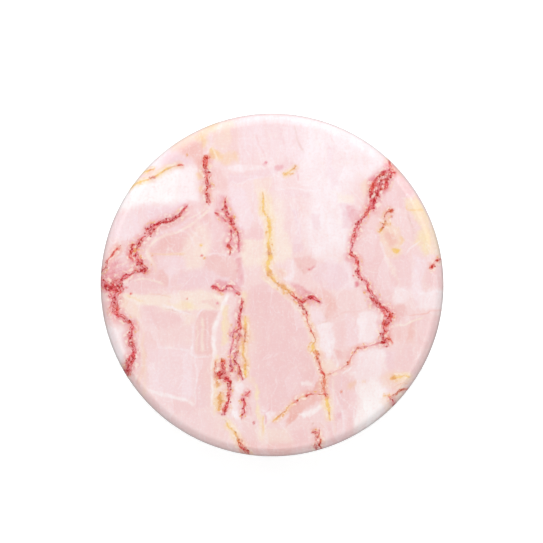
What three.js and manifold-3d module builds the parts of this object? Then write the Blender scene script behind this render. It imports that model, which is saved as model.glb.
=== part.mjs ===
// Collapsible phone grip: a round printed top on a two-stage bellows, which pops out of a base
// that is stuck to the back of a phone. Millimetres, +Z along the axis away from the phone,
// origin at the centre of the sticky face. It is drawn popped out to its full height.
import * as THREE from "three";
import { mergeVertices } from "three/addons/utils/BufferGeometryUtils.js";
import Module from "manifold-3d";

const wasm = await Module();
wasm.setup();

// Driving dimensions
const TOP_RADIUS = 19.85;
const BASE_RADIUS = 19.7;
const FLOOR_TOP = 1.6; // height of the base's inner floor, on which the closed bellows sits
const TOP_STACK = 1.6; // from the neck's upper end to the printed face
const BELLOWS_WALLS = 5; // three stiff walls and the two thin folds between them
const WALL_HEIGHT = 4.15; // each stage closes by twice this
const OPEN_HEIGHT = FLOOR_TOP + BELLOWS_WALLS * WALL_HEIGHT + TOP_STACK;
const WALL_END_GAP = 0.15; // how far a stiff wall stops short of its fold line
const FOLD_END_GAP = 0.1; // and how far the thin fold stops short of the same line
const SKIN_GAP = 0.03; // between two pieces that lie on each other
const SEAT_GAP = 0.05; // above and below a piece that is held in a seat
const SIDE_GAP = 0.1; // beside a piece that is held in a seat
const OVERLAP = 0.2; // how deep two joined shapes reach into each other
const CUT_MARGIN = 1; // how far a cutting shape reaches past what it cuts
const SEGMENTS = 48;

// Printed film and the shell that it covers
const FACE_RADIUS = 18.6; // the flat of the face, inside the rounded rim
const RIM_DROP = 1.3;
const FILM_THICKNESS = 0.2;
const SHELL_THICKNESS = 0.7;
const FILM_EDGE_DROP = 1.95;
const SHELL_EDGE_DROP = 2.5;
const RIM_WALL = 1.5;
const EDGE_FILLET = 0.35;

// Carrier plate with the T-shaped key of the quarter-turn lock
const CARRIER_THICKNESS = 0.58;
const CARRIER_RADIUS = TOP_RADIUS - RIM_WALL - SIDE_GAP;
const CARRIER_LIP = { width: 1.0, depth: 0.5 };
const KEY = { halfLength: 7.1, halfWidth: 4.0, thickness: 1.0, postRadius: 3.9 };
const KEY_TO_LEDGE = 0.2;

// Lock collar, the hard insert in the bellows' upper end
const COLLAR = { outer: 9.2, inner: 7.4, flange: 9.9, flangeThickness: 0.4 };
const LEDGE_THICKNESS = 1.0;
const COLLAR_HEIGHT = 3.55;
const SLOT_CLEARANCE = 0.2;
const COLLAR_SIDE_GAP = 0.15;
const STOP = { arc: 37, reach: 0.8, root: 0.4 }; // the two ribs that end the key's quarter turn

// Stiff walls of the bellows: each is a slim cone, wider at its foot
const WALL_THICKNESS = 1.1;
const WALL_LEAN = 0.5; // how much smaller a wall's radius is at its upper end
const WALL_CHAMFER = 0.2;
const FOOT_RADIUS = 16.6;
const WALL_STEP = 2.85; // each wall's radius is this much less than the one below
const FOLD_THICKNESS = 0.5;
const FOLD_INSET = 0.15; // from a stiff wall's outer face to the fold's
const NECK_FLANGE = { radius: 11.5, thickness: 0.8 };

// Base: plate, bezel that clamps the bellows' foot, and the sticky pad below
const FOOT_FLANGE = { radius: 17.95, thickness: 0.65 };
const BASE_UNDERSIDE = 0.4;
const RECESS = { radius: 18.3, ceiling: 0.9 };
const BASE_RIM_TOP = 3.4;
const BASE_FILLET = 0.6;
const BEZEL = { inner: 16.85, outer: 18.65, thickness: 0.63, chamfer: 0.25 };
const DOG = { inner: 7.6, outer: 8.9, arc: 36, height: 1.4 };
const NOTCH = { arc: 46, height: 1.15 };
const PAD = { radius: 18.0, thickness: 0.75, edge: 0.2 };
const FILM_OF_PAD = 0.09;

const COLOURS = {
  print: 0xf2d4d6,
  white: 0xf4f1ef,
  natural: 0xe6e2da,
  bellows: 0xf1eeec,
  film: 0xd9d6d2,
  gel: 0x8f8d8c,
};

// Points along an ellipse's arc in the (radius, height) half-section. Angles are in degrees.
function arc(centreR, centreZ, radiusR, radiusZ, from, to, steps) {
  return Array.from({ length: steps + 1 }, (_, i) => {
    const a = THREE.MathUtils.degToRad(from + ((to - from) * i) / steps);
    return [centreR + radiusR * Math.cos(a), centreZ + radiusZ * Math.sin(a)];
  });
}

// A closed (radius, height) outline, listed anticlockwise, turned about +Z.
function revolve(outline, segments = SEGMENTS) {
  const closed = [...outline, outline[0]].map(([r, z]) => new THREE.Vector2(r, z));
  return new THREE.LatheGeometry(closed, segments).rotateX(Math.PI / 2);
}

// A flat outline in the XY plane, raised from one height to another.
function raised(shape, low, high, curveSegments = 10) {
  const settings = { depth: high - low, bevelEnabled: false, curveSegments };
  return new THREE.ExtrudeGeometry(shape, settings).translate(0, 0, low);
}

// A slot's outline, with round ends on the X axis.
function slotShape(halfLength, halfWidth) {
  const reach = halfLength - halfWidth;
  const shape = new THREE.Shape();
  shape.absarc(reach, 0, halfWidth, -Math.PI / 2, Math.PI / 2, false);
  shape.absarc(-reach, 0, halfWidth, Math.PI / 2, (3 * Math.PI) / 2, false);
  shape.closePath();
  return shape;
}

// Part of a ring, centred on the angle given in degrees.
function ringSector(inner, outer, centre, spread) {
  const from = THREE.MathUtils.degToRad(centre - spread / 2);
  const to = THREE.MathUtils.degToRad(centre + spread / 2);
  const shape = new THREE.Shape();
  shape.absarc(0, 0, outer, from, to, false);
  shape.absarc(0, 0, inner, to, from, true);
  shape.closePath();
  return shape;
}

function toSolid(geometry) {
  const bare = geometry.clone();
  for (const name of ["normal", "uv"]) bare.deleteAttribute(name);
  const merged = mergeVertices(bare, 1e-4);
  const mesh = new wasm.Mesh({
    numProp: 3,
    vertProperties: new Float32Array(merged.attributes.position.array),
    triVerts: new Uint32Array(merged.index.array),
  });
  return new wasm.Manifold(mesh);
}

function toGeometry(solid) {
  const { vertProperties, triVerts } = solid.getMesh();
  const geometry = new THREE.BufferGeometry();
  geometry.setAttribute("position", new THREE.BufferAttribute(vertProperties, 3));
  geometry.setIndex(new THREE.BufferAttribute(triVerts, 1));
  return geometry;
}

function addPiece(group, name, geometry, color, roughness, metalness = 0) {
  const material = new THREE.MeshStandardMaterial({ color, roughness, metalness });
  const mesh = new THREE.Mesh(geometry, material);
  mesh.name = name;
  group.add(mesh);
}

// The rim's quarter ellipse, a given depth below the outer skin, from the face down to the side.
function rimArc(depth, steps = 5) {
  const acrossRim = TOP_RADIUS - FACE_RADIUS - depth;
  return arc(FACE_RADIUS, OPEN_HEIGHT - RIM_DROP, acrossRim, RIM_DROP - depth, 0, 90, steps);
}

function printedFilm() {
  const edge = OPEN_HEIGHT - FILM_EDGE_DROP;
  const outer = [[TOP_RADIUS, edge], ...rimArc(0), [0, OPEN_HEIGHT]];
  const inner = [[TOP_RADIUS - FILM_THICKNESS, edge], ...rimArc(FILM_THICKNESS)];
  return revolve([...outer, [0, OPEN_HEIGHT - FILM_THICKNESS], ...inner.reverse()]);
}

function topShell() {
  const skin = FILM_THICKNESS + SKIN_GAP;
  const step = OPEN_HEIGHT - FILM_EDGE_DROP - SKIN_GAP;
  const bottom = OPEN_HEIGHT - SHELL_EDGE_DROP;
  const ceiling = OPEN_HEIGHT - skin - SHELL_THICKNESS;
  const inside = TOP_RADIUS - RIM_WALL;
  return revolve([
    [inside, bottom + EDGE_FILLET],
    [inside + EDGE_FILLET, bottom],
    ...arc(TOP_RADIUS - EDGE_FILLET, bottom + EDGE_FILLET, EDGE_FILLET, EDGE_FILLET, -90, 0, 3),
    [TOP_RADIUS, step],
    [TOP_RADIUS - skin, step],
    ...rimArc(skin),
    [0, OPEN_HEIGHT - skin],
    [0, ceiling],
    [inside, ceiling],
  ]);
}

const CARRIER_TOP = OPEN_HEIGHT - FILM_THICKNESS - SHELL_THICKNESS - 2 * SKIN_GAP;
const CARRIER_UNDERSIDE = CARRIER_TOP - CARRIER_THICKNESS;
const COLLAR_TOP = OPEN_HEIGHT - TOP_STACK - SEAT_GAP;
const LEDGE_TOP = COLLAR_TOP - COLLAR.flangeThickness;
const LEDGE_UNDERSIDE = LEDGE_TOP - LEDGE_THICKNESS;
const KEY_TOP = LEDGE_UNDERSIDE - KEY_TO_LEDGE;

// The key lies across the slot, so it is locked. A quarter turn brings it in line.
function topCarrier() {
  const lipInner = CARRIER_RADIUS - CARRIER_LIP.width;
  const plate = revolve([
    [0, CARRIER_UNDERSIDE],
    [lipInner, CARRIER_UNDERSIDE],
    [lipInner, CARRIER_UNDERSIDE - CARRIER_LIP.depth],
    [CARRIER_RADIUS, CARRIER_UNDERSIDE - CARRIER_LIP.depth],
    [CARRIER_RADIUS, CARRIER_TOP],
    [0, CARRIER_TOP],
  ]);
  const middle = KEY_TOP - KEY.thickness / 2;
  const post = revolve(
    [
      [0, middle],
      [KEY.postRadius, middle],
      [KEY.postRadius, CARRIER_UNDERSIDE + OVERLAP],
      [0, CARRIER_UNDERSIDE + OVERLAP],
    ],
    32,
  );
  const bar = raised(slotShape(KEY.halfLength, KEY.halfWidth), KEY_TOP - KEY.thickness, KEY_TOP);
  bar.rotateZ(Math.PI / 2);
  return toGeometry(toSolid(plate).add(toSolid(post)).add(toSolid(bar)));
}

function lockCollar() {
  const bottom = COLLAR_TOP - COLLAR_HEIGHT;
  const cup = revolve([
    [COLLAR.inner, bottom],
    [COLLAR.outer, bottom],
    [COLLAR.outer, LEDGE_TOP],
    [COLLAR.flange, LEDGE_TOP],
    [COLLAR.flange, COLLAR_TOP],
    [0, COLLAR_TOP],
    [0, LEDGE_UNDERSIDE],
    [COLLAR.inner, LEDGE_UNDERSIDE],
  ]);
  let collar = toSolid(cup);
  const slot = slotShape(KEY.halfLength + SLOT_CLEARANCE, KEY.halfWidth + SLOT_CLEARANCE);
  collar = collar.subtract(toSolid(raised(slot, LEDGE_UNDERSIDE - CUT_MARGIN, COLLAR_TOP + CUT_MARGIN)));
  const keySpread = THREE.MathUtils.radToDeg(Math.asin(KEY.halfWidth / KEY.halfLength));
  const sweepEnd = 180 + keySpread;
  const nextStart = 270 - keySpread;
  const stopCentre = (sweepEnd + nextStart) / 2;
  for (const turn of [0, 180]) {
    const notchInner = COLLAR.inner - CUT_MARGIN;
    const notchOuter = COLLAR.outer + CUT_MARGIN;
    const notch = ringSector(notchInner, notchOuter, turn, NOTCH.arc);
    collar = collar.subtract(toSolid(raised(notch, bottom - CUT_MARGIN, bottom + NOTCH.height)));
    const ribInner = COLLAR.inner - STOP.reach;
    const ribOuter = COLLAR.inner + STOP.root;
    const rib = ringSector(ribInner, ribOuter, stopCentre + turn, STOP.arc);
    collar = collar.add(toSolid(raised(rib, KEY_TOP - KEY.thickness, LEDGE_UNDERSIDE + OVERLAP)));
  }
  return toGeometry(collar);
}

// Outer radius at the lower end of stiff wall n, counted up from the base, from 0.
const wallRadius = (n) => FOOT_RADIUS - n * WALL_STEP;
// Height of the fold line at the lower end of stiff wall n.
const wallBottom = (n) => FLOOR_TOP + 2 * n * WALL_HEIGHT;

function footRing() {
  const low = FLOOR_TOP + SEAT_GAP;
  const high = FLOOR_TOP + WALL_HEIGHT - WALL_END_GAP;
  const outer = wallRadius(0);
  return revolve([
    [outer - WALL_THICKNESS, low],
    [FOOT_FLANGE.radius, low],
    [FOOT_FLANGE.radius, low + FOOT_FLANGE.thickness],
    [outer, low + FOOT_FLANGE.thickness],
    [outer - WALL_LEAN, high - WALL_CHAMFER],
    [outer - WALL_LEAN - WALL_CHAMFER, high],
    [outer - WALL_LEAN - WALL_THICKNESS + WALL_CHAMFER, high],
    [outer - WALL_LEAN - WALL_THICKNESS, high - WALL_CHAMFER],
  ]);
}

function middleRing() {
  const low = wallBottom(1) + WALL_END_GAP;
  const high = wallBottom(1) + WALL_HEIGHT - WALL_END_GAP;
  const outer = wallRadius(1);
  return revolve([
    [outer - WALL_THICKNESS, low + WALL_CHAMFER],
    [outer - WALL_THICKNESS + WALL_CHAMFER, low],
    [outer - WALL_CHAMFER, low],
    [outer, low + WALL_CHAMFER],
    [outer - WALL_LEAN, high - WALL_CHAMFER],
    [outer - WALL_LEAN - WALL_CHAMFER, high],
    [outer - WALL_LEAN - WALL_THICKNESS + WALL_CHAMFER, high],
    [outer - WALL_LEAN - WALL_THICKNESS, high - WALL_CHAMFER],
  ]);
}

function neckRing() {
  const low = wallBottom(2) + WALL_END_GAP;
  const high = wallBottom(2) + WALL_HEIGHT;
  const outer = wallRadius(2);
  const inner = outer - WALL_LEAN - WALL_THICKNESS;
  const seat = COLLAR.flange + COLLAR_SIDE_GAP;
  const seatFloor = LEDGE_TOP - SEAT_GAP;
  return revolve([
    [outer - WALL_THICKNESS, low + WALL_CHAMFER],
    [outer - WALL_THICKNESS + WALL_CHAMFER, low],
    [outer - WALL_CHAMFER, low],
    [outer, low + WALL_CHAMFER],
    [outer - WALL_LEAN, high - NECK_FLANGE.thickness],
    [NECK_FLANGE.radius, high - NECK_FLANGE.thickness],
    [NECK_FLANGE.radius, high],
    [seat, high],
    [seat, seatFloor],
    [inner, seatFloor],
  ]);
}

// The thin wall above stiff wall n, which turns inside out as its stage closes.
function fold(n) {
  const low = wallBottom(n) + WALL_HEIGHT + FOLD_END_GAP;
  const high = wallBottom(n + 1) - FOLD_END_GAP;
  const lowOuter = wallRadius(n) - WALL_LEAN - FOLD_INSET;
  const highOuter = wallRadius(n + 1) - FOLD_INSET;
  return revolve([
    [lowOuter - FOLD_THICKNESS, low],
    [lowOuter, low],
    [highOuter, high],
    [highOuter - FOLD_THICKNESS, high],
  ]);
}

function basePlate() {
  const seat = BEZEL.outer + SIDE_GAP;
  const seatFloor = FLOOR_TOP + FOOT_FLANGE.thickness + 2 * SEAT_GAP;
  const channel = FOOT_FLANGE.radius + SIDE_GAP;
  const side = BASE_RADIUS;
  const plate = revolve([
    [0, RECESS.ceiling],
    [RECESS.radius, RECESS.ceiling],
    [RECESS.radius, BASE_UNDERSIDE],
    ...arc(side - EDGE_FILLET, BASE_UNDERSIDE + EDGE_FILLET, EDGE_FILLET, EDGE_FILLET, -90, 0, 3),
    ...arc(side - BASE_FILLET, BASE_RIM_TOP - BASE_FILLET, BASE_FILLET, BASE_FILLET, 0, 90, 4),
    [seat, BASE_RIM_TOP],
    [seat, seatFloor],
    [channel, seatFloor],
    [channel, FLOOR_TOP],
    [0, FLOOR_TOP],
  ]);
  let base = toSolid(plate);
  for (const turn of [0, 180]) {
    const dog = ringSector(DOG.inner, DOG.outer, turn, DOG.arc);
    base = base.add(toSolid(raised(dog, FLOOR_TOP - OVERLAP, FLOOR_TOP + DOG.height)));
  }
  return toGeometry(base);
}

function baseBezel() {
  const low = BASE_RIM_TOP - BEZEL.thickness;
  return revolve([
    [BEZEL.inner, low],
    [BEZEL.outer, low],
    [BEZEL.outer, BASE_RIM_TOP],
    [BEZEL.inner + BEZEL.chamfer, BASE_RIM_TOP],
    [BEZEL.inner, BASE_RIM_TOP - BEZEL.chamfer],
  ]);
}

function padFilm() {
  const low = PAD.thickness + SKIN_GAP / 2;
  const high = low + FILM_OF_PAD;
  return revolve([[0, low], [PAD.radius, low], [PAD.radius, high], [0, high]]);
}

function gelPad() {
  const bottomRadius = PAD.radius - PAD.edge;
  return revolve([
    [0, 0],
    [bottomRadius, 0],
    [PAD.radius, PAD.edge],
    [PAD.radius, PAD.thickness],
    [0, PAD.thickness],
  ]);
}

function makeTop() {
  const top = new THREE.Group();
  addPiece(top, "printed_film", printedFilm(), COLOURS.print, 0.25);
  addPiece(top, "top_shell", topShell(), COLOURS.white, 0.3);
  addPiece(top, "top_carrier", topCarrier(), COLOURS.white, 0.5);
  return top;
}

function makeBellows() {
  const bellows = new THREE.Group();
  addPiece(bellows, "lock_collar", lockCollar(), COLOURS.natural, 0.5);
  addPiece(bellows, "bellows_neck", neckRing(), COLOURS.bellows, 0.6);
  addPiece(bellows, "bellows_upper_fold", fold(1), COLOURS.bellows, 0.6);
  addPiece(bellows, "bellows_middle_ring", middleRing(), COLOURS.bellows, 0.6);
  addPiece(bellows, "bellows_lower_fold", fold(0), COLOURS.bellows, 0.6);
  addPiece(bellows, "bellows_foot", footRing(), COLOURS.bellows, 0.6);
  return bellows;
}

function makeBase() {
  const base = new THREE.Group();
  addPiece(base, "base_bezel", baseBezel(), COLOURS.white, 0.35);
  addPiece(base, "base_plate", basePlate(), COLOURS.white, 0.35);
  addPiece(base, "pad_film", padFilm(), COLOURS.film, 0.4);
  addPiece(base, "gel_pad", gelPad(), COLOURS.gel, 0.3);
  return base;
}

const grip = new THREE.Group();
grip.add(makeTop(), makeBellows(), makeBase());

export default grip;
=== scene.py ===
"""Looks of a collapsible phone grip: a marble-printed top on a pop-out bellows. Metres, +Z up.

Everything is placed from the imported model's boxes. The fine pieces are turned outlines, so they
follow the model's shapes with smooth, rounded edges. The marble print is laid out in millimetres
on the face, as tints and veins, and its fine grain is made in the material.
"""
import math

import bmesh
import bpy
import numpy as np
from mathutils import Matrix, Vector


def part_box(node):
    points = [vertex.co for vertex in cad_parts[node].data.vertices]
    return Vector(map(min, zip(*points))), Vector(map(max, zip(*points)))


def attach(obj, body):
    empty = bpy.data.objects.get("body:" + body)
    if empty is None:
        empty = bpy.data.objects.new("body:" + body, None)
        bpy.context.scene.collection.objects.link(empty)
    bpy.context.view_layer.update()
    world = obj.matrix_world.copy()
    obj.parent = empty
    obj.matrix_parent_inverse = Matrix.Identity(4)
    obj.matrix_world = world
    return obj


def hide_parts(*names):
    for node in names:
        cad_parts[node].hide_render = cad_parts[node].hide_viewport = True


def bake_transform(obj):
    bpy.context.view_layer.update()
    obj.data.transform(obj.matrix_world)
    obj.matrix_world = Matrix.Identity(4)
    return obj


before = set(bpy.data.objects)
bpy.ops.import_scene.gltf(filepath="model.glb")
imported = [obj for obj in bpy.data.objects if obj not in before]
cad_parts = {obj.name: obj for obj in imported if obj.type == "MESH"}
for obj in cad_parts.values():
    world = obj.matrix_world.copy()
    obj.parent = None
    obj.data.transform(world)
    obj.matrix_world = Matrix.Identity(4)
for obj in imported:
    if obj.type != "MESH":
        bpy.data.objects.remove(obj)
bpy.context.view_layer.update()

MM = 0.001
TURN_STEPS = 240  # sides of a turned piece
SHARP_ANGLE = math.radians(38)
ON_AXIS = 1e-6  # a radius below this is a point on the axis
ARC_SHARE = 0.49  # the most of a side that one rounded corner takes up

# Shapes that the boxes don't give, in millimetres, as the model has them
RIM_ACROSS = 1.25  # the rounded rim, seen from above
RIM_DROP = 1.3
FILM_THICKNESS = 0.2
SKIN_GAP = 0.03  # between two pieces that lie on each other
SEAT_GAP = 0.05  # above and below a piece that is held in a seat
SIDE_GAP = 0.1  # beside a piece that is held in a seat
COLLAR_SIDE_GAP = 0.15
SHELL_THICKNESS = 0.7
SHELL_RIM_WALL = 1.5
CARRIER = {"thickness": 0.58, "lip_width": 1.0, "lip_depth": 0.5, "post_radius": 3.9}
KEY = {"half_length": 7.1, "half_width": 4.0, "thickness": 1.0}
KEY_OVERLAP = 0.3  # how far the post reaches into the key
WALL_THICKNESS = 1.1
WALL_LEAN = 0.5  # how much smaller a wall's radius is at its upper end
WALL_STEP = 2.85  # each wall's radius is this much less than the one below
WALL_END_GAP = 0.15
FOLD_THICKNESS = 0.5
FOLD_INSET = 0.15  # from a stiff wall's outer face to the fold's
FOLD_TUCK = 0.45  # how far a fold's ends reach past its fold lines, into the stiff walls
FOLD_STEPS = 40
FOOT_FLANGE_THICKNESS = 0.65
NECK_FLANGE_THICKNESS = 0.8
COLLAR_FLANGE_THICKNESS = 0.4
RECESS = {"radius": 18.3, "ceiling": 0.9}
BEZEL_INNER = 16.85
DOG = {"inner": 7.6, "outer": 8.9, "arc": 36, "height": 1.4}
DOG_ROOT = 0.1  # how far a dog reaches into the base's floor

# How much an edge is rounded, in millimetres
NONE, CRISP, TIGHT, FINE, EASED, BLUNT, SOFT = 0, 0.05, 0.08, 0.1, 0.15, 0.2, 0.25
BEZEL_EDGE, CORNER, ROUND, BASE_EDGE = 0.28, 0.3, 0.35, 0.6
KEY_EDGE = 0.18


def box_mm(node):
    """(radius, lowest z, highest z) of a round node, in millimetres."""
    low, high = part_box(node)
    return high.x / MM, low.z / MM, high.z / MM


# ---------------------------------------------------------------- camera, floor and light

PHOTO_WIDTH_MM = 62.85  # what the picture spans at the height of the face's outer edge
FACE_OFFSET_MM = (0.06, -1.56)  # where the face's centre lies from the picture's centre
LENS_MM = 200.0
SENSOR_MM = 36.0
FLOOR_HALF = 1.2
FLOOR_Z = -0.00001  # a hair below the gel's sticky face, so that the two don't coincide
FLOOR_GREY = 0.93
FLOOR_GLOW = 0.35
LIT_PLACE = (0, 0, 0.02)  # what the lamps point at
SOFTBOX = {"place": (0.0, 0.5, 0.27), "size": 0.46, "watts": 1.8}
LAMPS = {"count": 6, "reach": 0.25, "height": 0.56, "size": 0.38, "watts": 0.505}
WORLD_FILL = 0.1
WHITE = (1, 1, 1, 1)


def make_camera():
    top = box_mm("printed_film")[2]
    distance = PHOTO_WIDTH_MM * LENS_MM / SENSOR_MM
    data = bpy.data.cameras.new("camera")
    data.lens = LENS_MM
    data.sensor_width = SENSOR_MM
    data.clip_start = 0.01
    data.clip_end = 10.0
    camera = bpy.data.objects.new("camera", data)
    across, up = FACE_OFFSET_MM
    camera.location = (-across * MM, -up * MM, (top - RIM_DROP + distance) * MM)
    bpy.context.scene.collection.objects.link(camera)
    bpy.context.scene.camera = camera


def make_floor():
    mesh = bpy.data.meshes.new("floor")
    bm = bmesh.new()
    corners = [(-1, -1), (1, -1), (1, 1), (-1, 1)]
    bm.faces.new([bm.verts.new((x * FLOOR_HALF, y * FLOOR_HALF, FLOOR_Z)) for x, y in corners])
    bm.to_mesh(mesh)
    bm.free()
    floor = bpy.data.objects.new("floor", mesh)
    bpy.context.scene.collection.objects.link(floor)
    material = bpy.data.materials.new("floor")
    material.use_nodes = True
    shader = material.node_tree.nodes["Principled BSDF"]
    shader.inputs["Base Color"].default_value = (FLOOR_GREY, FLOOR_GREY, FLOOR_GREY, 1)
    shader.inputs["Roughness"].default_value = 0.9
    shader.inputs["Specular IOR Level"].default_value = 0.1
    shader.inputs["Emission Color"].default_value = WHITE
    shader.inputs["Emission Strength"].default_value = FLOOR_GLOW
    mesh.materials.append(material)


def area_light(name, place, size, watts):
    data = bpy.data.lights.new(name, "AREA")
    data.shape = "DISK"
    data.size = size
    data.energy = watts
    light = bpy.data.objects.new(name, data)
    light.location = place
    light.rotation_mode = "QUATERNION"
    light.rotation_quaternion = (Vector(LIT_PLACE) - Vector(place)).to_track_quat("-Z", "Y")
    bpy.context.scene.collection.objects.link(light)


def make_lights():
    """A low softbox beyond the face's upper side and six high lamps around, clear of the axis, so
    that the gloss coat shows no lamp to the camera. The world is a weak fill."""
    area_light("softbox", **SOFTBOX)
    for k in range(LAMPS["count"]):
        turn = math.tau * k / LAMPS["count"]
        place = (LAMPS["reach"] * math.cos(turn), LAMPS["reach"] * math.sin(turn), LAMPS["height"])
        area_light(f"high_{k}", place, LAMPS["size"], LAMPS["watts"])
    world = bpy.context.scene.world or bpy.data.worlds.new("world")
    bpy.context.scene.world = world
    world.use_nodes = True
    background = world.node_tree.nodes["Background"]
    background.inputs["Color"].default_value = WHITE
    background.inputs["Strength"].default_value = WORLD_FILL
    bpy.context.scene.view_settings.view_transform = "Standard"


# ---------------------------------------------------------------- material nodes

class Nodes:
    """A short way to write a material's nodes. Each method adds one and returns its output."""

    def __init__(self, name):
        self.material = bpy.data.materials.new(name)
        self.material.use_nodes = True
        self.tree = self.material.node_tree
        self.shader = self.tree.nodes["Principled BSDF"]

    def put(self, socket, value):
        if isinstance(value, bpy.types.NodeSocket):
            self.tree.links.new(value, socket)
        elif value is not None:
            socket.default_value = value

    def add(self, kind, **settings):
        node = self.tree.nodes.new(kind)
        for key, value in settings.items():
            setattr(node, key, value)
        return node

    def math(self, operation, a, b=None, c=None):
        node = self.add("ShaderNodeMath", operation=operation)
        for socket, value in zip(node.inputs, (a, b, c)):
            self.put(socket, value)
        return node.outputs[0]

    def times(self, a, b):
        return self.math("MULTIPLY", a, b)

    def minus(self, a, b):
        return self.math("SUBTRACT", a, b)

    def vector_math(self, operation, a, b=None, scale=None):
        node = self.add("ShaderNodeVectorMath", operation=operation)
        out = "Value" if operation == "LENGTH" else "Vector"
        self.put(node.inputs[0], a)
        self.put(node.inputs[1], b)
        if scale is not None:
            self.put(node.inputs[3], scale)
        return node.outputs[out]

    def shifted(self, where, shift):
        return self.vector_math("ADD", where, shift)

    def stretched(self, where, factors):
        return self.vector_math("MULTIPLY", where, factors)

    def attribute(self, name):
        return self.add("ShaderNodeAttribute", attribute_name=name)

    def split(self, colour):
        """The red, green and blue of a colour."""
        node = self.add("ShaderNodeSeparateColor")
        self.put(node.inputs[0], colour)
        return node.outputs

    def noise(self, where, scale, detail=2.0, roughness=0.5, distortion=0.0):
        node = self.add("ShaderNodeTexNoise", noise_dimensions="3D")
        self.put(node.inputs["Vector"], where)
        node.inputs["Scale"].default_value = scale
        node.inputs["Detail"].default_value = detail
        node.inputs["Roughness"].default_value = roughness
        node.inputs["Distortion"].default_value = distortion
        return node

    def cells(self, where, scale, distance="EUCLIDEAN"):
        node = self.add("ShaderNodeTexVoronoi", voronoi_dimensions="2D", distance=distance)
        self.put(node.inputs["Vector"], where)
        node.inputs["Scale"].default_value = scale
        return node

    def fade(self, value, start, end, to_low=0.0, to_high=1.0):
        """A smooth step from to_low at start to to_high at end. Start may be the larger."""
        node = self.add("ShaderNodeMapRange", interpolation_type="SMOOTHSTEP")
        for socket, given in zip(node.inputs, (value, start, end, to_low, to_high)):
            self.put(socket, given)
        return node.outputs["Result"]

    def mix(self, share, a, b, blend="MIX"):
        node = self.add("ShaderNodeMix", data_type="RGBA", blend_type=blend)
        self.put(node.inputs["Factor"], share)
        self.put(node.inputs[6], a)
        self.put(node.inputs[7], b)
        return node.outputs[2]

    def tinge(self, colour, ink, value, start, end, share):
        """The colour, with up to this share of the ink as the value goes from start to end."""
        return self.mix(self.fade(value, start, end, 0.0, share), colour, INK[ink])

    def bump(self, height, strength, distance):
        node = self.add("ShaderNodeBump")
        self.put(node.inputs["Height"], height)
        node.inputs["Strength"].default_value = strength
        node.inputs["Distance"].default_value = distance
        self.tree.links.new(node.outputs["Normal"], self.shader.inputs["Normal"])

    def finish(self, **sockets):
        for name, value in sockets.items():
            self.put(self.shader.inputs[name.replace("_", " ")], value)
        return self.material


def linear(red, green, blue):
    """An 8-bit screen colour as the renderer's linear one."""
    def one(v):
        v /= 255
        return v / 12.92 if v <= 0.04045 else ((v + 0.055) / 1.055) ** 2.4
    return (one(red), one(green), one(blue), 1.0)


# ---------------------------------------------------------------- turned pieces

def arc(centre_r, centre_z, radius_r, radius_z, start, end, steps):
    """Points along part of an ellipse in the (radius, height) section. Degrees."""
    turns = [math.radians(start + (end - start) * i / steps) for i in range(steps + 1)]
    return [(centre_r + radius_r * math.cos(a), centre_z + radius_z * math.sin(a)) for a in turns]


def rounded(corners, steps=4):
    """An outline from (r, z, rounding) corners, each rounded by a tangent arc."""
    outline = []
    for i, (r, z, rounding) in enumerate(corners):
        here = Vector((r, z))
        if rounding <= 0:
            outline.append((r, z))
            continue
        back = Vector(corners[i - 1][:2]) - here
        ahead = Vector(corners[(i + 1) % len(corners)][:2]) - here
        half = back.angle(ahead) / 2
        most = ARC_SHARE * min(back.length, ahead.length)
        reach = min(rounding / math.tan(half), most)
        radius = reach * math.tan(half)
        inward = (back.normalized() + ahead.normalized()).normalized()
        middle = here + inward * (radius / math.sin(half))
        first = here + back.normalized() * reach - middle
        last = here + ahead.normalized() * reach - middle
        sweep = first.angle_signed(last)
        for k in range(steps + 1):
            turn = -sweep * k / steps
            c, s = math.cos(turn), math.sin(turn)
            outline.append((middle.x + first.x * c - first.y * s, middle.y + first.x * s + first.y * c))
    return outline


def finish_mesh(name, bm, material, body=None, replaces=None):
    bmesh.ops.recalc_face_normals(bm, faces=bm.faces)
    mesh = bpy.data.meshes.new(name)
    bm.to_mesh(mesh)
    bm.free()
    mesh.polygons.foreach_set("use_smooth", [True] * len(mesh.polygons))
    mesh.set_sharp_from_angle(angle=SHARP_ANGLE)
    mesh.materials.append(material)
    piece = bpy.data.objects.new(name, mesh)
    bpy.context.scene.collection.objects.link(piece)
    if body:
        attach(piece, body)
    if replaces:
        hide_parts(replaces)
    return piece


def turned(outline, sides=TURN_STEPS):
    """A closed outline of (r, z) in millimetres, turned about Z, as a bmesh."""
    bm = bmesh.new()
    angles = [math.tau * k / sides for k in range(sides)]
    rings = []
    for r, z in outline:
        if r < ON_AXIS:
            rings.append([bm.verts.new((0, 0, z * MM))])
            continue
        rings.append([bm.verts.new((r * MM * math.cos(a), r * MM * math.sin(a), z * MM)) for a in angles])
    for i, low in enumerate(rings):
        high = rings[(i + 1) % len(rings)]
        if len(low) == 1 and len(high) == 1:
            continue
        for k in range(sides):
            n = (k + 1) % sides
            if len(low) == 1:
                bm.faces.new((low[0], high[k], high[n]))
            elif len(high) == 1:
                bm.faces.new((low[k], low[n], high[0]))
            else:
                bm.faces.new((low[k], low[n], high[n], high[k]))
    return bm


# ---------------------------------------------------------------- plain materials

CLOUD_SCALE = 120  # noise features per metre
GRAIN_SCALE = 9000
CLOUD_SHADE = 0.965


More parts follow.
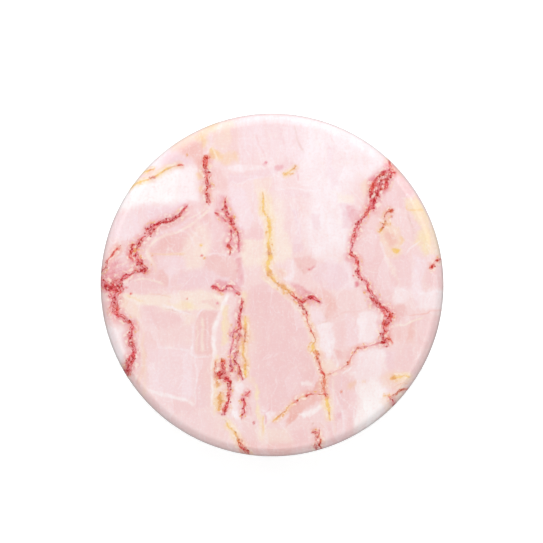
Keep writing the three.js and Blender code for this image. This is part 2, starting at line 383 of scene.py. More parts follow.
def moulded(name, colour, roughness, coat=0.0, grain=0.25, depth=0.000004, scatter=0.0):
    """Moulded plastic or elastomer: faint cloudiness, fine grain and slightly uneven gloss."""
    n = Nodes(name)
    where = n.add("ShaderNodeTexCoord").outputs["Object"]
    cloud = n.noise(where, CLOUD_SCALE, detail=3).outputs[0]
    low = tuple(c * CLOUD_SHADE for c in colour[:3]) + (1,)
    tone = n.mix(n.fade(cloud, 0.3, 0.7), low, colour)
    fine = n.noise(where, GRAIN_SCALE, detail=2).outputs[0]
    gloss = n.fade(fine, 0.25, 0.75, roughness - 0.05, roughness + 0.06)
    n.bump(fine, grain, depth)
    return n.finish(
        Base_Color=tone, Roughness=gloss, Coat_Weight=coat, Coat_Roughness=0.08,
        Subsurface_Weight=scatter, Subsurface_Scale=0.0012,
    )


# ---------------------------------------------------------------- the marble print

INK = {
    "white": linear(255, 252, 254),
    "snow": linear(252, 242, 247),
    "lilac": linear(248, 227, 234),
    "orchid": linear(243, 213, 221),
    "blush": linear(247, 219, 220),
    "salmon": linear(244, 208, 211),
    "coral": linear(241, 196, 194),
    "clay": linear(240, 182, 172),
    "peach": linear(248, 220, 203),
    "cream": linear(251, 236, 224),
    "butter": linear(250, 230, 188),
    "gold": linear(245, 202, 112),
    "amber": linear(231, 160, 74),
    "orange": linear(225, 106, 62),
    "tan": linear(226, 184, 172),
    "rose": linear(228, 128, 144),
    "red": linear(226, 62, 48),
    "crimson": linear(220, 52, 64),
    "wine": linear(204, 34, 44),
    "darkest": linear(132, 2, 12),
}
# painted shade: the grey that darkens the print low on the rim and at its edge
PAINTED_EDGE_SHADE = (0.6, 0.59, 0.59, 1)

# Patches of tint, first to last: ink, strength, how soft the edge is, and the outline as x, y
PATCHES = [
    ("snow", 0.85, 0.8, "3.6,20.6 9,18.8 12.9,15.8 12.6,13.9 11.4,12.4 10,12.4 9,10.6 9.2,8.6 9,5.2 "
     "8.6,3.6 6.6,3 5.2,3.2 4,4.4 3.9,7 4.2,9.6 3.4,11.8 3.2,14"),
    ("lilac", 0.6, 0.5, "-3.8,20.6 3.6,20.6 3.4,14.2 1,14.4 -3.8,14.2"),
    ("white", 0.95, 0.4, "-17,11.9 -13.9,12.4 -12.6,13.2 -10.2,13.5 -9.6,13.9 -8.9,13.6 -8.8,12.4 "
     "-8.9,11 -8.6,9.6 -10,9.4 -12,9.3 -14.5,9.2 -16.6,8.6 -19,8.6 -18.2,10.4"),
    ("lilac", 0.35, 0.2, "-10.7,13.4 -9.2,13.6 -8.8,9.6 -10.7,9.4"),
    ("lilac", 0.9, 0.6, "-19.6,5.6 -18,8.2 -15.5,9 -12,9.3 -10,9.3 -11.4,8.3 -13.4,7.2 -14.8,6 -16,4.9 "
     "-17,5"),
    ("orchid", 0.8, 0.35, "-14.2,8.6 -12.6,9 -10.2,9.2 -11.2,8.4 -13.8,7.2 -14.6,7.6"),
    ("snow", 0.8, 0.3, "-15.4,13.3 -13.4,15.6 -12,16.3 -11.6,15.2 -12.9,13.6"),
    ("orchid", 0.8, 0.35, "-13,14.2 -12,15.3 -10.3,15.1 -9.2,14.4 -9.8,13.9 -11.4,13.7"),
    ("clay", 0.6, 0.3, "-10.9,15.9 -9.4,16.6 -8.3,16.7 -7.9,16.2 -7.8,15 -8.2,13.6 -9,14.3 -9.9,14.9"),
    ("peach", 0.8, 0.3, "-12.2,16.6 -10.6,17.8 -8.8,17.8 -8.6,16.8 -10.4,16.1 -11.4,15.6"),
    ("peach", 0.6, 0.25, "-7.4,18.9 -4.3,19 -4,16.8 -3.9,15.4 -6,15.6 -7,16.2"),
    ("salmon", 0.7, 0.2, "-4.8,18.2 -4.1,18 -3.9,15.6 -3.6,14.3 -4.5,14.6 -4.9,16"),
    ("gold", 0.6, 0.3, "-8.9,17.2 -8,18.6 -6.2,19.6 -6.6,18 -7.3,17.4 -7.5,16.4 -7.9,16.1 -8.4,16.6"),
    ("gold", 0.6, 0.15, "-8.2,17.3 -7.7,17.6 -7.6,16.4 -7.9,16.3"),
    ("gold", 0.7, 0.15, "-7.2,15.9 -6.4,15.5 -5.9,14.9 -6,14.3 -6.9,14.5 -7.3,14.9"),
    ("gold", 0.4, 0.2, "-6,15 -4.4,15.2 -3.9,14.9 -4,14.2 -5.4,14.1 -6.2,14.3"),
    ("clay", 0.7, 0.25, "-8.9,14.4 -8,15 -7.3,14.8 -7,14 -8.2,13.6"),
    ("gold", 0.6, 0.15, "-8.7,12.8 -8,12.8 -8,12.2 -8.5,12.2"),
    ("gold", 0.7, 0.15, "-8.6,11.4 -7.9,11.4 -8,10.8 -8.4,10.7"),
    ("clay", 0.5, 0.3, "-8.3,14 -7,14 -6.9,9.6 -8,9.6"),
    ("coral", 0.6, 0.25, "-7.3,13.4 -5.8,13.4 -5.2,12 -5.1,10.9 -7.2,11"),
    ("salmon", 0.9, 0.2, "-9.6,9.5 -7.6,9.6 -6.9,9 -6.6,7 -7.4,6 -9.5,6.4 -12,6.4 -13.4,6.2 -12.4,6.9 "
     "-10.6,7.8"),
    ("coral", 0.6, 0.2, "-9.6,9.2 -8.4,9.4 -7.4,8.4 -6.9,7 -7.6,6.4 -8.6,7.6"),
    ("salmon", 0.8, 0.3, "-15,4.6 -13.6,6 -11,7.2 -9,6.6 -7.4,7.6 -6.9,4 -7.4,1 -9,-0.4 -13,-0.6 -16,0.4 "
     "-14.6,1.6 -15.2,3"),
    ("coral", 0.9, 0.12, "-13.6,4 -12.9,5.2 -11.4,6.1 -9.9,6.3 -8.9,5.6 -9.6,4.6 -10.4,3.7 -12.4,3.6"),
    ("clay", 0.35, 0.2, "-13.2,4 -12.2,5.2 -11.6,5.2 -12.8,3.9"),
    ("coral", 0.8, 0.2, "-9.7,6.8 -9,6.9 -8.6,6 -9.3,5.8"),
    ("cream", 0.85, 0.45, "-10.1,5 -8.6,7 -7.5,6.6 -7.2,4.4 -7.8,3 -8.2,1.9 -10,1.8 -10.4,3.2"),
    ("lilac", 0.85, 0.3, "-13,3.3 -10.4,3.3 -9.8,1.8 -11.4,1 -11.9,-0.6 -12.2,0.6 -13.4,1.8"),
    ("coral", 0.75, 0.12, "-13.3,1.7 -12.6,1.9 -12,0.9 -12,0 -12.9,0.1 -13.4,0.6"),
    ("orchid", 0.75, 0.25, "-10.4,1.4 -8.4,1.9 -6,1.9 -3.4,1.2 -3.6,0.2 -7,-0.1 -10.2,-0.3 -11.2,0.2"),
    ("coral", 0.75, 0.12, "-7.6,3.3 -6.4,3.5 -4.4,3.3 -3.6,2.2 -3.4,0.6 -5,0.7 -7.4,1.9 -7.7,2.4"),
    ("salmon", 0.8, 0.2, "-6.9,7 -5.6,7.2 -4.4,6.4 -3.6,5 -3.6,3.4 -5,3.2 -6.9,3.6"),
    ("cream", 0.8, 0.2, "-18.2,-0.9 -15.2,-1 -13,-1.2 -10.4,-0.6 -8,-0.7 -5.4,-0.9 -6,-2.6 -8,-2.8 "
     "-9.6,-3 -11.4,-3.2 -13.2,-2.6 -15.4,-2 -17.4,-2"),
    ("butter", 0.6, 0.2, "-12,-2.2 -9.6,-1.9 -9,-2.6 -10.8,-3"),
    ("coral", 0.4, 0.12, "-8,-1.8 -6.4,-1.4 -6,-2.2 -6.4,-2.6 -7.4,-2.1"),
    ("peach", 0.8, 0.2, "-17.4,-1.6 -16,-1.9 -15.2,-2.6 -15,-4 -15.8,-3.9 -17,-3.2 -17.6,-2.6"),
    ("blush", 0.9, 0.2, "-15,-2.4 -13.4,-2.8 -11.2,-3.4 -9.3,-3.8 -9,-5 -9.2,-9 -14.4,-9 -14.7,-6 "
     "-15.2,-4.8"),
    ("salmon", 0.75, 0.3, "-14.6,-2.5 -13,-2.8 -11,-3.4 -9.4,-3.9 -10.4,-4.3 -12.4,-5.2 -14.5,-4.4"),
    ("cream", 0.5, 0.25, "-10.4,-3.3 -8.8,-3.4 -8.8,-4.6 -10,-4.6"),
    ("coral", 0.6, 0.08, "-8.9,-4.1 -8.2,-3 -6.2,-3 -6.2,-4.4 -7,-7.9 -8.9,-7.9"),
    ("lilac", 0.75, 0.5, "-14.4,-7 -9.2,-7 -9,-12.8 -10,-13.2 -12,-12.8 -14,-12"),
    ("salmon", 0.6, 0.2, "-14.4,-12.9 -12,-13 -9.8,-13.4 -8.9,-14 -9.2,-14.8 -11,-14.9 -13,-14.6"),
    ("salmon", 0.5, 0.12, "-9.1,-8.1 -7,-8.1 -7,-9.8 -7,-13.9 -8.8,-14.1 -9,-12"),
    ("orchid", 0.5, 0.12, "-8.8,-11.4 -7.2,-11.6 -7.2,-13.8 -8.8,-13.9"),
    ("coral", 0.8, 0.12, "-16,-4.2 -15.2,-4.8 -15,-6 -14.7,-8 -14.9,-10 -15.4,-12 -16.4,-11.2 -16,-10 "
     "-15.3,-8.8 -15.6,-7 -16,-5.6"),
    ("peach", 0.5, 0.12, "-15.2,-7 -14.6,-8 -14.5,-12.4 -15.2,-13.4 -14.9,-10"),
    ("snow", 0.95, 0.25, "-20.4,-4.8 -17,-5 -17,-7 -17.3,-9 -18.9,-9.8 -20.2,-6.8"),
    ("salmon", 0.8, 0.2, "-20.6,-1.8 -18.9,-1.6 -18.4,-3.4 -17.6,-4.5 -20.4,-4.6"),
    ("coral", 0.8, 0.15, "-18.4,3.8 -17.6,5 -16.4,4.9 -16,4.2 -16.4,2.8 -18.8,2.8"),
    ("rose", 0.8, 0.2, "-20.6,1.9 -19,2.6 -17.4,2.8 -15.2,2.6 -15.4,1.6 -17,1.2 -17.6,0.4 -18,-0.8 "
     "-20.6,-0.8"),
    ("salmon", 0.9, 0.12, "-16.9,1 -15.4,1.3 -14.2,1 -13.6,0.2 -14.4,-0.9 -17.2,-0.9 -17.4,0.2"),
    ("orchid", 0.7, 0.12, "-4.9,12.9 -3.2,12.9 -1.4,13.3 0.2,13.9 1.2,14.2 1.7,15 2,14.3 2.6,13.9 "
     "1.6,13.1 0,12.8 -1.2,12.4 -2.6,12.1 -4,11.8 -5,12"),
    ("coral", 0.45, 0.2, "-0.6,13.5 0.2,13.9 1.2,14.2 1.7,15 2,14.3 2.6,13.9 1.6,13.1 0,12.9"),
    ("snow", 0.7, 0.12, "-5,13.7 -3,13.9 -1,14 -0.6,13.6 -2.2,13.2 -4.6,13.2"),
    ("salmon", 0.6, 0.12, "-1.1,19.6 -0.8,19.6 -0.6,18 -0.2,16.6 0.2,15.2 -0.3,14.6 -0.8,15.8 -1,17.4"),
    ("rose", 0.85, 0.08, "-1.1,13.9 -0.7,14.4 -0.5,13.9 -0.8,13.7"),
    ("rose", 0.8, 0.08, "0.3,13.8 1.1,13.9 0.9,13.3 0.5,13.1 0.3,13.4"),
    ("salmon", 0.8, 0.2, "-6.6,10.6 -5.4,10.6 -5.2,9.6 -4.6,8.2 -4.2,7 -3.7,6.2 -5.2,5.8 -6.6,7"),
    ("lilac", 0.8, 0.2, "-4.8,11.6 -3.2,11.2 -2.4,9 -1.9,7.4 -2.6,6.4 -3.6,6.4 -4.3,8.2 -4.8,9.6"),
    ("blush", 0.7, 0.2, "-2.9,11.4 -2.4,9 -2,7.6 -1.2,6 -0.9,8 -1.2,9.6 -2,10.4"),
    ("peach", 0.7, 0.15, "-2,12.2 -0.2,12.2 -0.1,11.2 -1,10.8 -2,10.9"),
    ("butter", 0.75, 0.3, "-2,10.9 -0.6,10.9 0.2,9.8 0.4,6 0.2,3 -0.5,3 -0.9,5.2 -1,7 -1.4,9.4"),
    ("cream", 0.75, 0.3, "0.2,10.8 1.2,9.6 1.4,7 2,5 2.4,4.4 2.4,3 1,2.4 0.2,3 0.3,6"),
    ("salmon", 0.85, 0.15, "-3.2,5.4 -2.6,6.6 -1.7,6.9 -1,6.2 -0.9,5.2 -2,5.3"),
    ("cream", 0.8, 0.15, "-3.6,5.5 -2,5.2 -0.6,5.3 -0.6,4 -0.6,2.6 -1.8,1.8 -3.2,2 -3.5,3.6"),
    ("blush", 0.8, 0.3, "-3.3,2.2 -0.8,2.2 -0.6,0.8 -1.8,-0.4 -3.2,-0.6"),
    ("orchid", 0.45, 0.08, "1.2,10.9 4,10.8 5,10.1 4,10.1 1.8,10.3"),
    ("orchid", 0.7, 0.12, "2.4,8.7 3,8.6 3.3,6.6 3.7,4 2.4,3.4 2.2,4.4 2.8,6.4"),
    ("orchid", 0.5, 0.1, "4.6,8.4 5.6,8.3 5.6,6 4.8,6.2"),
    ("lilac", 0.7, 0.2, "6.5,16.2 7.1,16 7.2,13.6 7.5,11.5 7,11.2 6.4,12.6 6.5,14.6"),
    ("cream", 0.6, 0.15, "7.4,10.5 9.2,10.3 9.4,9.4 8.6,9.2 7.6,9.4"),
    ("orchid", 0.7, 0.15, "7.6,9.3 8.6,9.3 9.4,8.9 9.1,8 8.9,6.4 8.2,6.6 8.2,8.4"),
    ("rose", 0.4, 0.2, "8.6,9.2 9.4,9 10.6,8.4 10.2,7.4 9.4,6.4 9,7.6"),
    ("salmon", 0.9, 0.15, "12.6,10.8 13.6,11.6 15.4,13.2 16.6,12 17.6,9.9 15.4,9.9 15.3,8.6 14,9.2 "
     "13.4,8.6 12.6,8 11.4,8.4 12,9.4"),
    ("coral", 0.6, 0.2, "11.6,8.4 12.6,8.9 13.6,9.2 14,8.6 13.9,7.8 13.2,7.4 12.2,7.6"),
    ("rose", 0.8, 0.3, "12.8,13.2 13.8,14.8 15.6,13.4 14.2,12.2 13.4,11.6 13,10.6 12.4,10.3 11.6,9 "
     "11,8.6 11.2,10.2 11,11.8 11.4,12.4"),
    ("peach", 0.8, 0.2, "13.6,14.6 15.9,12.9 14.6,12.4 13.7,13.4"),
    ("peach", 0.8, 0.2, "10,11.6 10.8,12.2 11.2,11.2 10.9,10.2 10.4,10.2"),
    ("butter", 0.7, 0.25, "15.4,10 16.8,10.2 17.8,8.8 18.8,7.2 20.2,5.2 20,3.2 17.6,3.4 16.4,5 17,6.6 "
     "16.2,8.2 15.6,9"),
    ("blush", 0.8, 0.15, "14,8.6 15.4,8.4 16.2,6.4 16.3,5 15.2,4 15.2,5.6 14.6,6.8 13.6,7.4"),
    ("peach", 0.85, 0.15, "12.2,6 12.9,7 14,7.2 14.6,6.4 15.2,5.2 15,3.6 14.6,2.8 13,3.2 13,4.4 12.3,5.2"),
    ("clay", 0.5, 0.2, "13,6.4 14.4,5.8 14.8,4.8 13.8,4.4 13.1,5.2"),
    ("gold", 0.9, 0.1, "13.9,4.2 14.3,4.3 14.8,4 14.5,3.7 14.1,3.8"),
    ("gold", 0.5, 0.15, "14.6,6.7 15.3,5.3 14.9,4.4 14.8,5.4"),
    ("salmon", 0.8, 0.1, "10.2,6.6 12,6.6 12.4,5 13,3.2 13.6,2.4 14.4,1.2 15,0.2 14,-0.4 13.8,-2.2 "
     "12.6,-2.2 11.8,-0.8 10.9,0.8 10.2,1.4 10.2,3.4 9.6,4.6"),
    ("cream", 0.6, 0.1, "13,3.1 13.4,2.4 14,1.2 14.8,0 15.3,-0.1 14.6,1 13.8,2.4 13.2,3.4"),
    ("salmon", 0.9, 0.1, "14,3 15.4,3.4 16.2,2.8 16.2,0.2 16,-0.8 14.9,-0.2 14.4,1.2"),
    ("lilac", 0.8, 0.15, "16.2,3.8 17.8,3 17.6,1 17,-1 16.8,-2.6 16.4,-1.6 16.3,0.8"),
    ("salmon", 0.9, 0.15, "17.8,2.4 18.8,2.6 20.4,2 20.2,-0.3 17.7,0 17.8,1.2"),
    ("snow", 0.6, 0.35, "14.2,-0.4 15.2,-0.2 16.2,-0.8 16.2,-1.4 15.2,-2 14,-1.9 14,-0.8"),
    ("snow", 0.85, 0.15, "16.8,-0.8 20.4,-0.6 20.2,-2.8 17,-2.8"),
    ("coral", 0.8, 0.15, "13.8,-2.4 15.2,-2.3 15.8,-3.4 15,-4.2 13.8,-4.6"),
    ("clay", 0.45, 0.3, "13.2,-5.2 14.4,-4.9 16.2,-4.2 16.6,-5.4 16.4,-6.8 14.2,-6.6 13.4,-6.2"),
    ("salmon", 0.75, 0.2, "16.2,-3.9 20,-3.7 19.4,-6.8 17,-7.4 16.7,-5.2"),
    ("rose", 0.5, 0.2, "8.2,3.6 9,4.2 9.4,3 9,2.6 8.4,3"),
    ("rose", 0.75, 0.1, "9.4,0.4 10,0.3 10.1,-0.2 9.6,-0.3"),
    ("lilac", 0.8, 0.25, "6,3 9,2.6 9.6,1.6 9.4,-0.6 7.4,-0.6 6,-0.4"),
    ("orchid", 0.6, 0.2, "5.4,2.6 8,2.4 8.6,1.2 7.6,-0.8 6,-0.2 4.8,0.8"),
    ("clay", 0.5, 0.3, "4.6,-0.3 6.4,-0.7 7.4,-1.6 7.6,-2.8 7,-3.8 6,-4.3 5.6,-2.4"),
    ("blush", 0.6, 0.15, "7.6,-0.8 9.6,-0.8 10.6,-0.2 11.4,-1.6 12,-2.6 10.2,-2.6 9,-3 7.8,-3"),
    ("lilac", 0.7, 0.1, "8.3,-3.4 9.7,-3.6 9.8,-7 8.5,-7"),
    ("salmon", 0.5, 0.1, "7.2,-4.2 8.3,-4 8.4,-7.2 7.3,-7.2"),
    ("snow", 0.75, 0.15, "10,-3.2 12,-3 12.5,-4.6 12.3,-6.6 10,-6.8"),
    ("coral", 0.85, 0.2, "7.2,-7.5 8.6,-7.4 9.6,-7.2 9.4,-7.9 8.8,-8.8 7.6,-8.4"),
    ("snow", 0.9, 0.3, "10.4,-7.6 12,-7.3 12.9,-7.4 13,-8.8 13.1,-9.6 12.2,-10.6 10,-11.4 9.4,-10.4 "
     "9,-10.2 9.8,-9"),
    ("white", 0.9, 0.4, "10,-11.4 12.2,-10.7 13.4,-12.6 13.6,-13.2 13,-15 11.8,-16.8 10,-17.8 9.4,-16 "
     "9.8,-14.4 9.7,-12.4"),
    ("orchid", 0.75, 0.12, "13,-7.4 14.2,-7.6 14,-9.4 13.2,-9.4"),
    ("salmon", 0.7, 0.2, "14.2,-7.2 16.2,-7.2 16.6,-8.4 18,-9.4 16.8,-10.2 14.4,-9.4"),
    ("peach", 0.75, 0.2, "13.4,-9.8 16.4,-10.2 16.6,-11.2 14.8,-12.2 12.6,-11.6 12.4,-10.8"),
    ("gold", 0.7, 0.08, "10.4,-11.1 10.9,-11.1 10.9,-11.3 10.5,-11.3"),
    ("peach", 0.7, 0.2, "12.6,-13.4 13.6,-12.9 15.4,-12.4 15.8,-13.2 14,-15.2 13.4,-14.6"),
    ("salmon", 0.75, 0.12, "6.3,-10.4 8.4,-10.4 9.6,-11.2 9.8,-13.4 9.4,-16 8.4,-18.6 6.4,-19.2 6.8,-15 "
     "6.4,-12"),
    ("gold", 0.3, 0.2, "8.6,-11.2 9.6,-11.2 9.4,-12.2 8.6,-11.9"),
    ("rose", 0.5, 0.15, "7.4,-14.9 7.9,-14.8 7.9,-15.4 7.4,-15.6"),
    ("rose", 0.55, 0.15, "-4.2,3.2 -3.5,3.2 -3.3,1.2 -3.4,0 -4.4,0.3 -5.6,0.8 -6.8,0.5 -7,-0.3 -5.4,-0.7 "
     "-4,-1 -3.6,-0.4"),
    ("rose", 0.4, 0.2, "-4.4,-2.8 -3.4,-2.6 -3.2,-4.6 -3.4,-6.4 -4.6,-6.6 -4.6,-4.8"),
    ("butter", 0.8, 0.12, "-5.7,-2.4 -5.1,-2.4 -4.9,-6.6 -5.7,-6.9"),
    ("butter", 0.8, 0.15, "-3.4,-0.8 -2.6,-0.8 -2.6,-2.6 -3.3,-2.6"),
    ("peach", 0.8, 0.15, "-3.1,-5 -2.3,-5.2 -2,-6.4 -2.8,-7 -3,-6"),
    ("salmon", 0.92, 0.2, "-2.9,-0.8 -0.8,0.4 0.6,-0.6 2.2,-2.2 3.2,-3.4 3.9,-5 4.5,-6.6 4.6,-8.4 "
     "5.4,-10.2 5.2,-11.4 3.6,-12.6 2,-13.6 0.6,-14.6 -0.8,-14.6 -1.8,-12.4 -2.6,-10.4 -2.4,-8.4 "
     "-1.8,-6.6 -2.6,-4.4 -3,-2.6"),
    ("coral", 0.35, 0.6, "3.6,-6 4.6,-8.4 5.4,-10.2 5,-11.8 3.8,-12.2 4,-9"),
    ("peach", 0.7, 0.15, "-3,-7.6 -2.4,-8 -2.6,-9.6 -3.1,-9.2"),
    ("peach", 0.85, 0.12, "0.2,2.2 1.2,1.9 1.9,1.3 1.4,0.7 0.4,0.6 -0.1,1.3"),
    ("clay", 0.3, 0.15, "0.3,1.9 1.1,1.7 1.6,1.3 1.2,0.9 0.5,1"),
    ("snow", 0.8, 0.15, "1,0.6 2.2,0.4 2.7,1.4 2.6,2.8 2,2.4 2.1,1.4"),
    ("coral", 0.7, 0.12, "2.6,3 4.2,3.2 5.2,2.6 4.4,1.7 3.6,1.2 2.9,2"),
    ("rose", 0.5, 0.2, "2.2,0.2 3.6,0 5,-1.2 5.6,-2 4.6,-2.6 3.2,-2.4 2.6,-1.2"),
    ("lilac", 0.7, 0.12, "4.2,-3 5.6,-2.8 6.4,-4.2 5.6,-4.4 4.8,-4.4"),
    ("snow", 0.85, 0.15, "5.1,-4.8 6.4,-4.4 7.1,-4.4 7.1,-7.2 6.6,-8.6 5.5,-7.4"),
    ("cream", 0.7, 0.2, "5.6,-8.6 6.8,-8.6 7.6,-9.6 6.2,-10.1"),
    ("clay", 0.75, 0.12, "1.8,-14.2 3,-13.3 4.2,-12.9 6,-12.9 6.2,-13.3 4.8,-13.8 3.6,-14.6 2.8,-15.4 "
     "1.6,-16.4 1.4,-15.8 2,-15"),
    ("orange", 0.8, 0.2, "5.8,-10 6.4,-10.3 6.3,-12.4 5.6,-12.6 4.2,-12.5 4.8,-11.7 5.4,-11"),
    ("white", 0.6, 0.08, "3.4,-11.3 4.6,-11.2 4.6,-11.5 3.6,-11.6"),
    ("white", 0.7, 0.1, "3,-14.8 4.4,-14.4 5.8,-13.6 5.9,-14 4.8,-14.8 3.6,-15.2"),
    ("red", 0.55, 0.12, "-6.1,-8.8 -5.4,-8.6 -5.2,-9.6 -5,-10.4 -5.3,-11 -6.2,-10.9 -6.3,-10.2"),
    ("amber", 0.8, 0.1, "-6.1,-12.3 -5.7,-12.4 -5.8,-14 -6,-14.6 -6.3,-14.2 -6.2,-13"),
    ("butter", 0.6, 0.15, "-6.5,-8 -6.1,-8 -6.2,-12 -6.6,-15 -6.9,-12"),
    ("snow", 0.9, 0.12, "-4.7,-11 -3.6,-11.2 -3,-12.4 -3.8,-13.4 -4,-15.4 -4.8,-15.2 -4.8,-12.6"),
    ("butter", 0.85, 0.12, "-2,-11.2 -1.6,-11.4 -1.6,-13.4 -1,-16 -0.8,-17.8 -1.2,-17.8 -1.8,-14.6"),
    ("peach", 0.8, 0.12, "-2.8,-10.2 -1.8,-10.8 -1.8,-12 -2.6,-11.4"),
    ("snow", 0.8, 0.12, "-1.4,-14.2 -0.4,-14.4 0.6,-15 0.2,-15.8 -0.6,-15.2"),
    ("cream", 0.7, 0.3, "-2,-16.6 1.6,-16.6 2.4,-18.2 -1.4,-18.4"),
    ("salmon", 0.85, 0.15, "2.4,-16.8 4,-16.2 4.4,-18.4 2.8,-19.2"),
    ("butter", 0.6, 0.2, "-5.6,-15.2 -4.4,-16.2 -3.2,-18.2 -3.8,-18.6 -4.8,-17.4"),
    ("coral", 0.6, 0.3, "-3,-18.2 2.4,-18.2 2.6,-20.4 -3,-20.4"),
    ("wine", 0.75, 0.12, "-17.8,-10 -17.2,-9.2 -16.6,-8.2 -16,-8.6 -16,-9.4 -16.6,-10.6 -17.6,-11"),
    ("red", 0.75, 0.12, "-3.7,-18.3 -3,-18.4 -2.6,-19.6 -2.4,-20.4 -3.4,-19.8"),
]

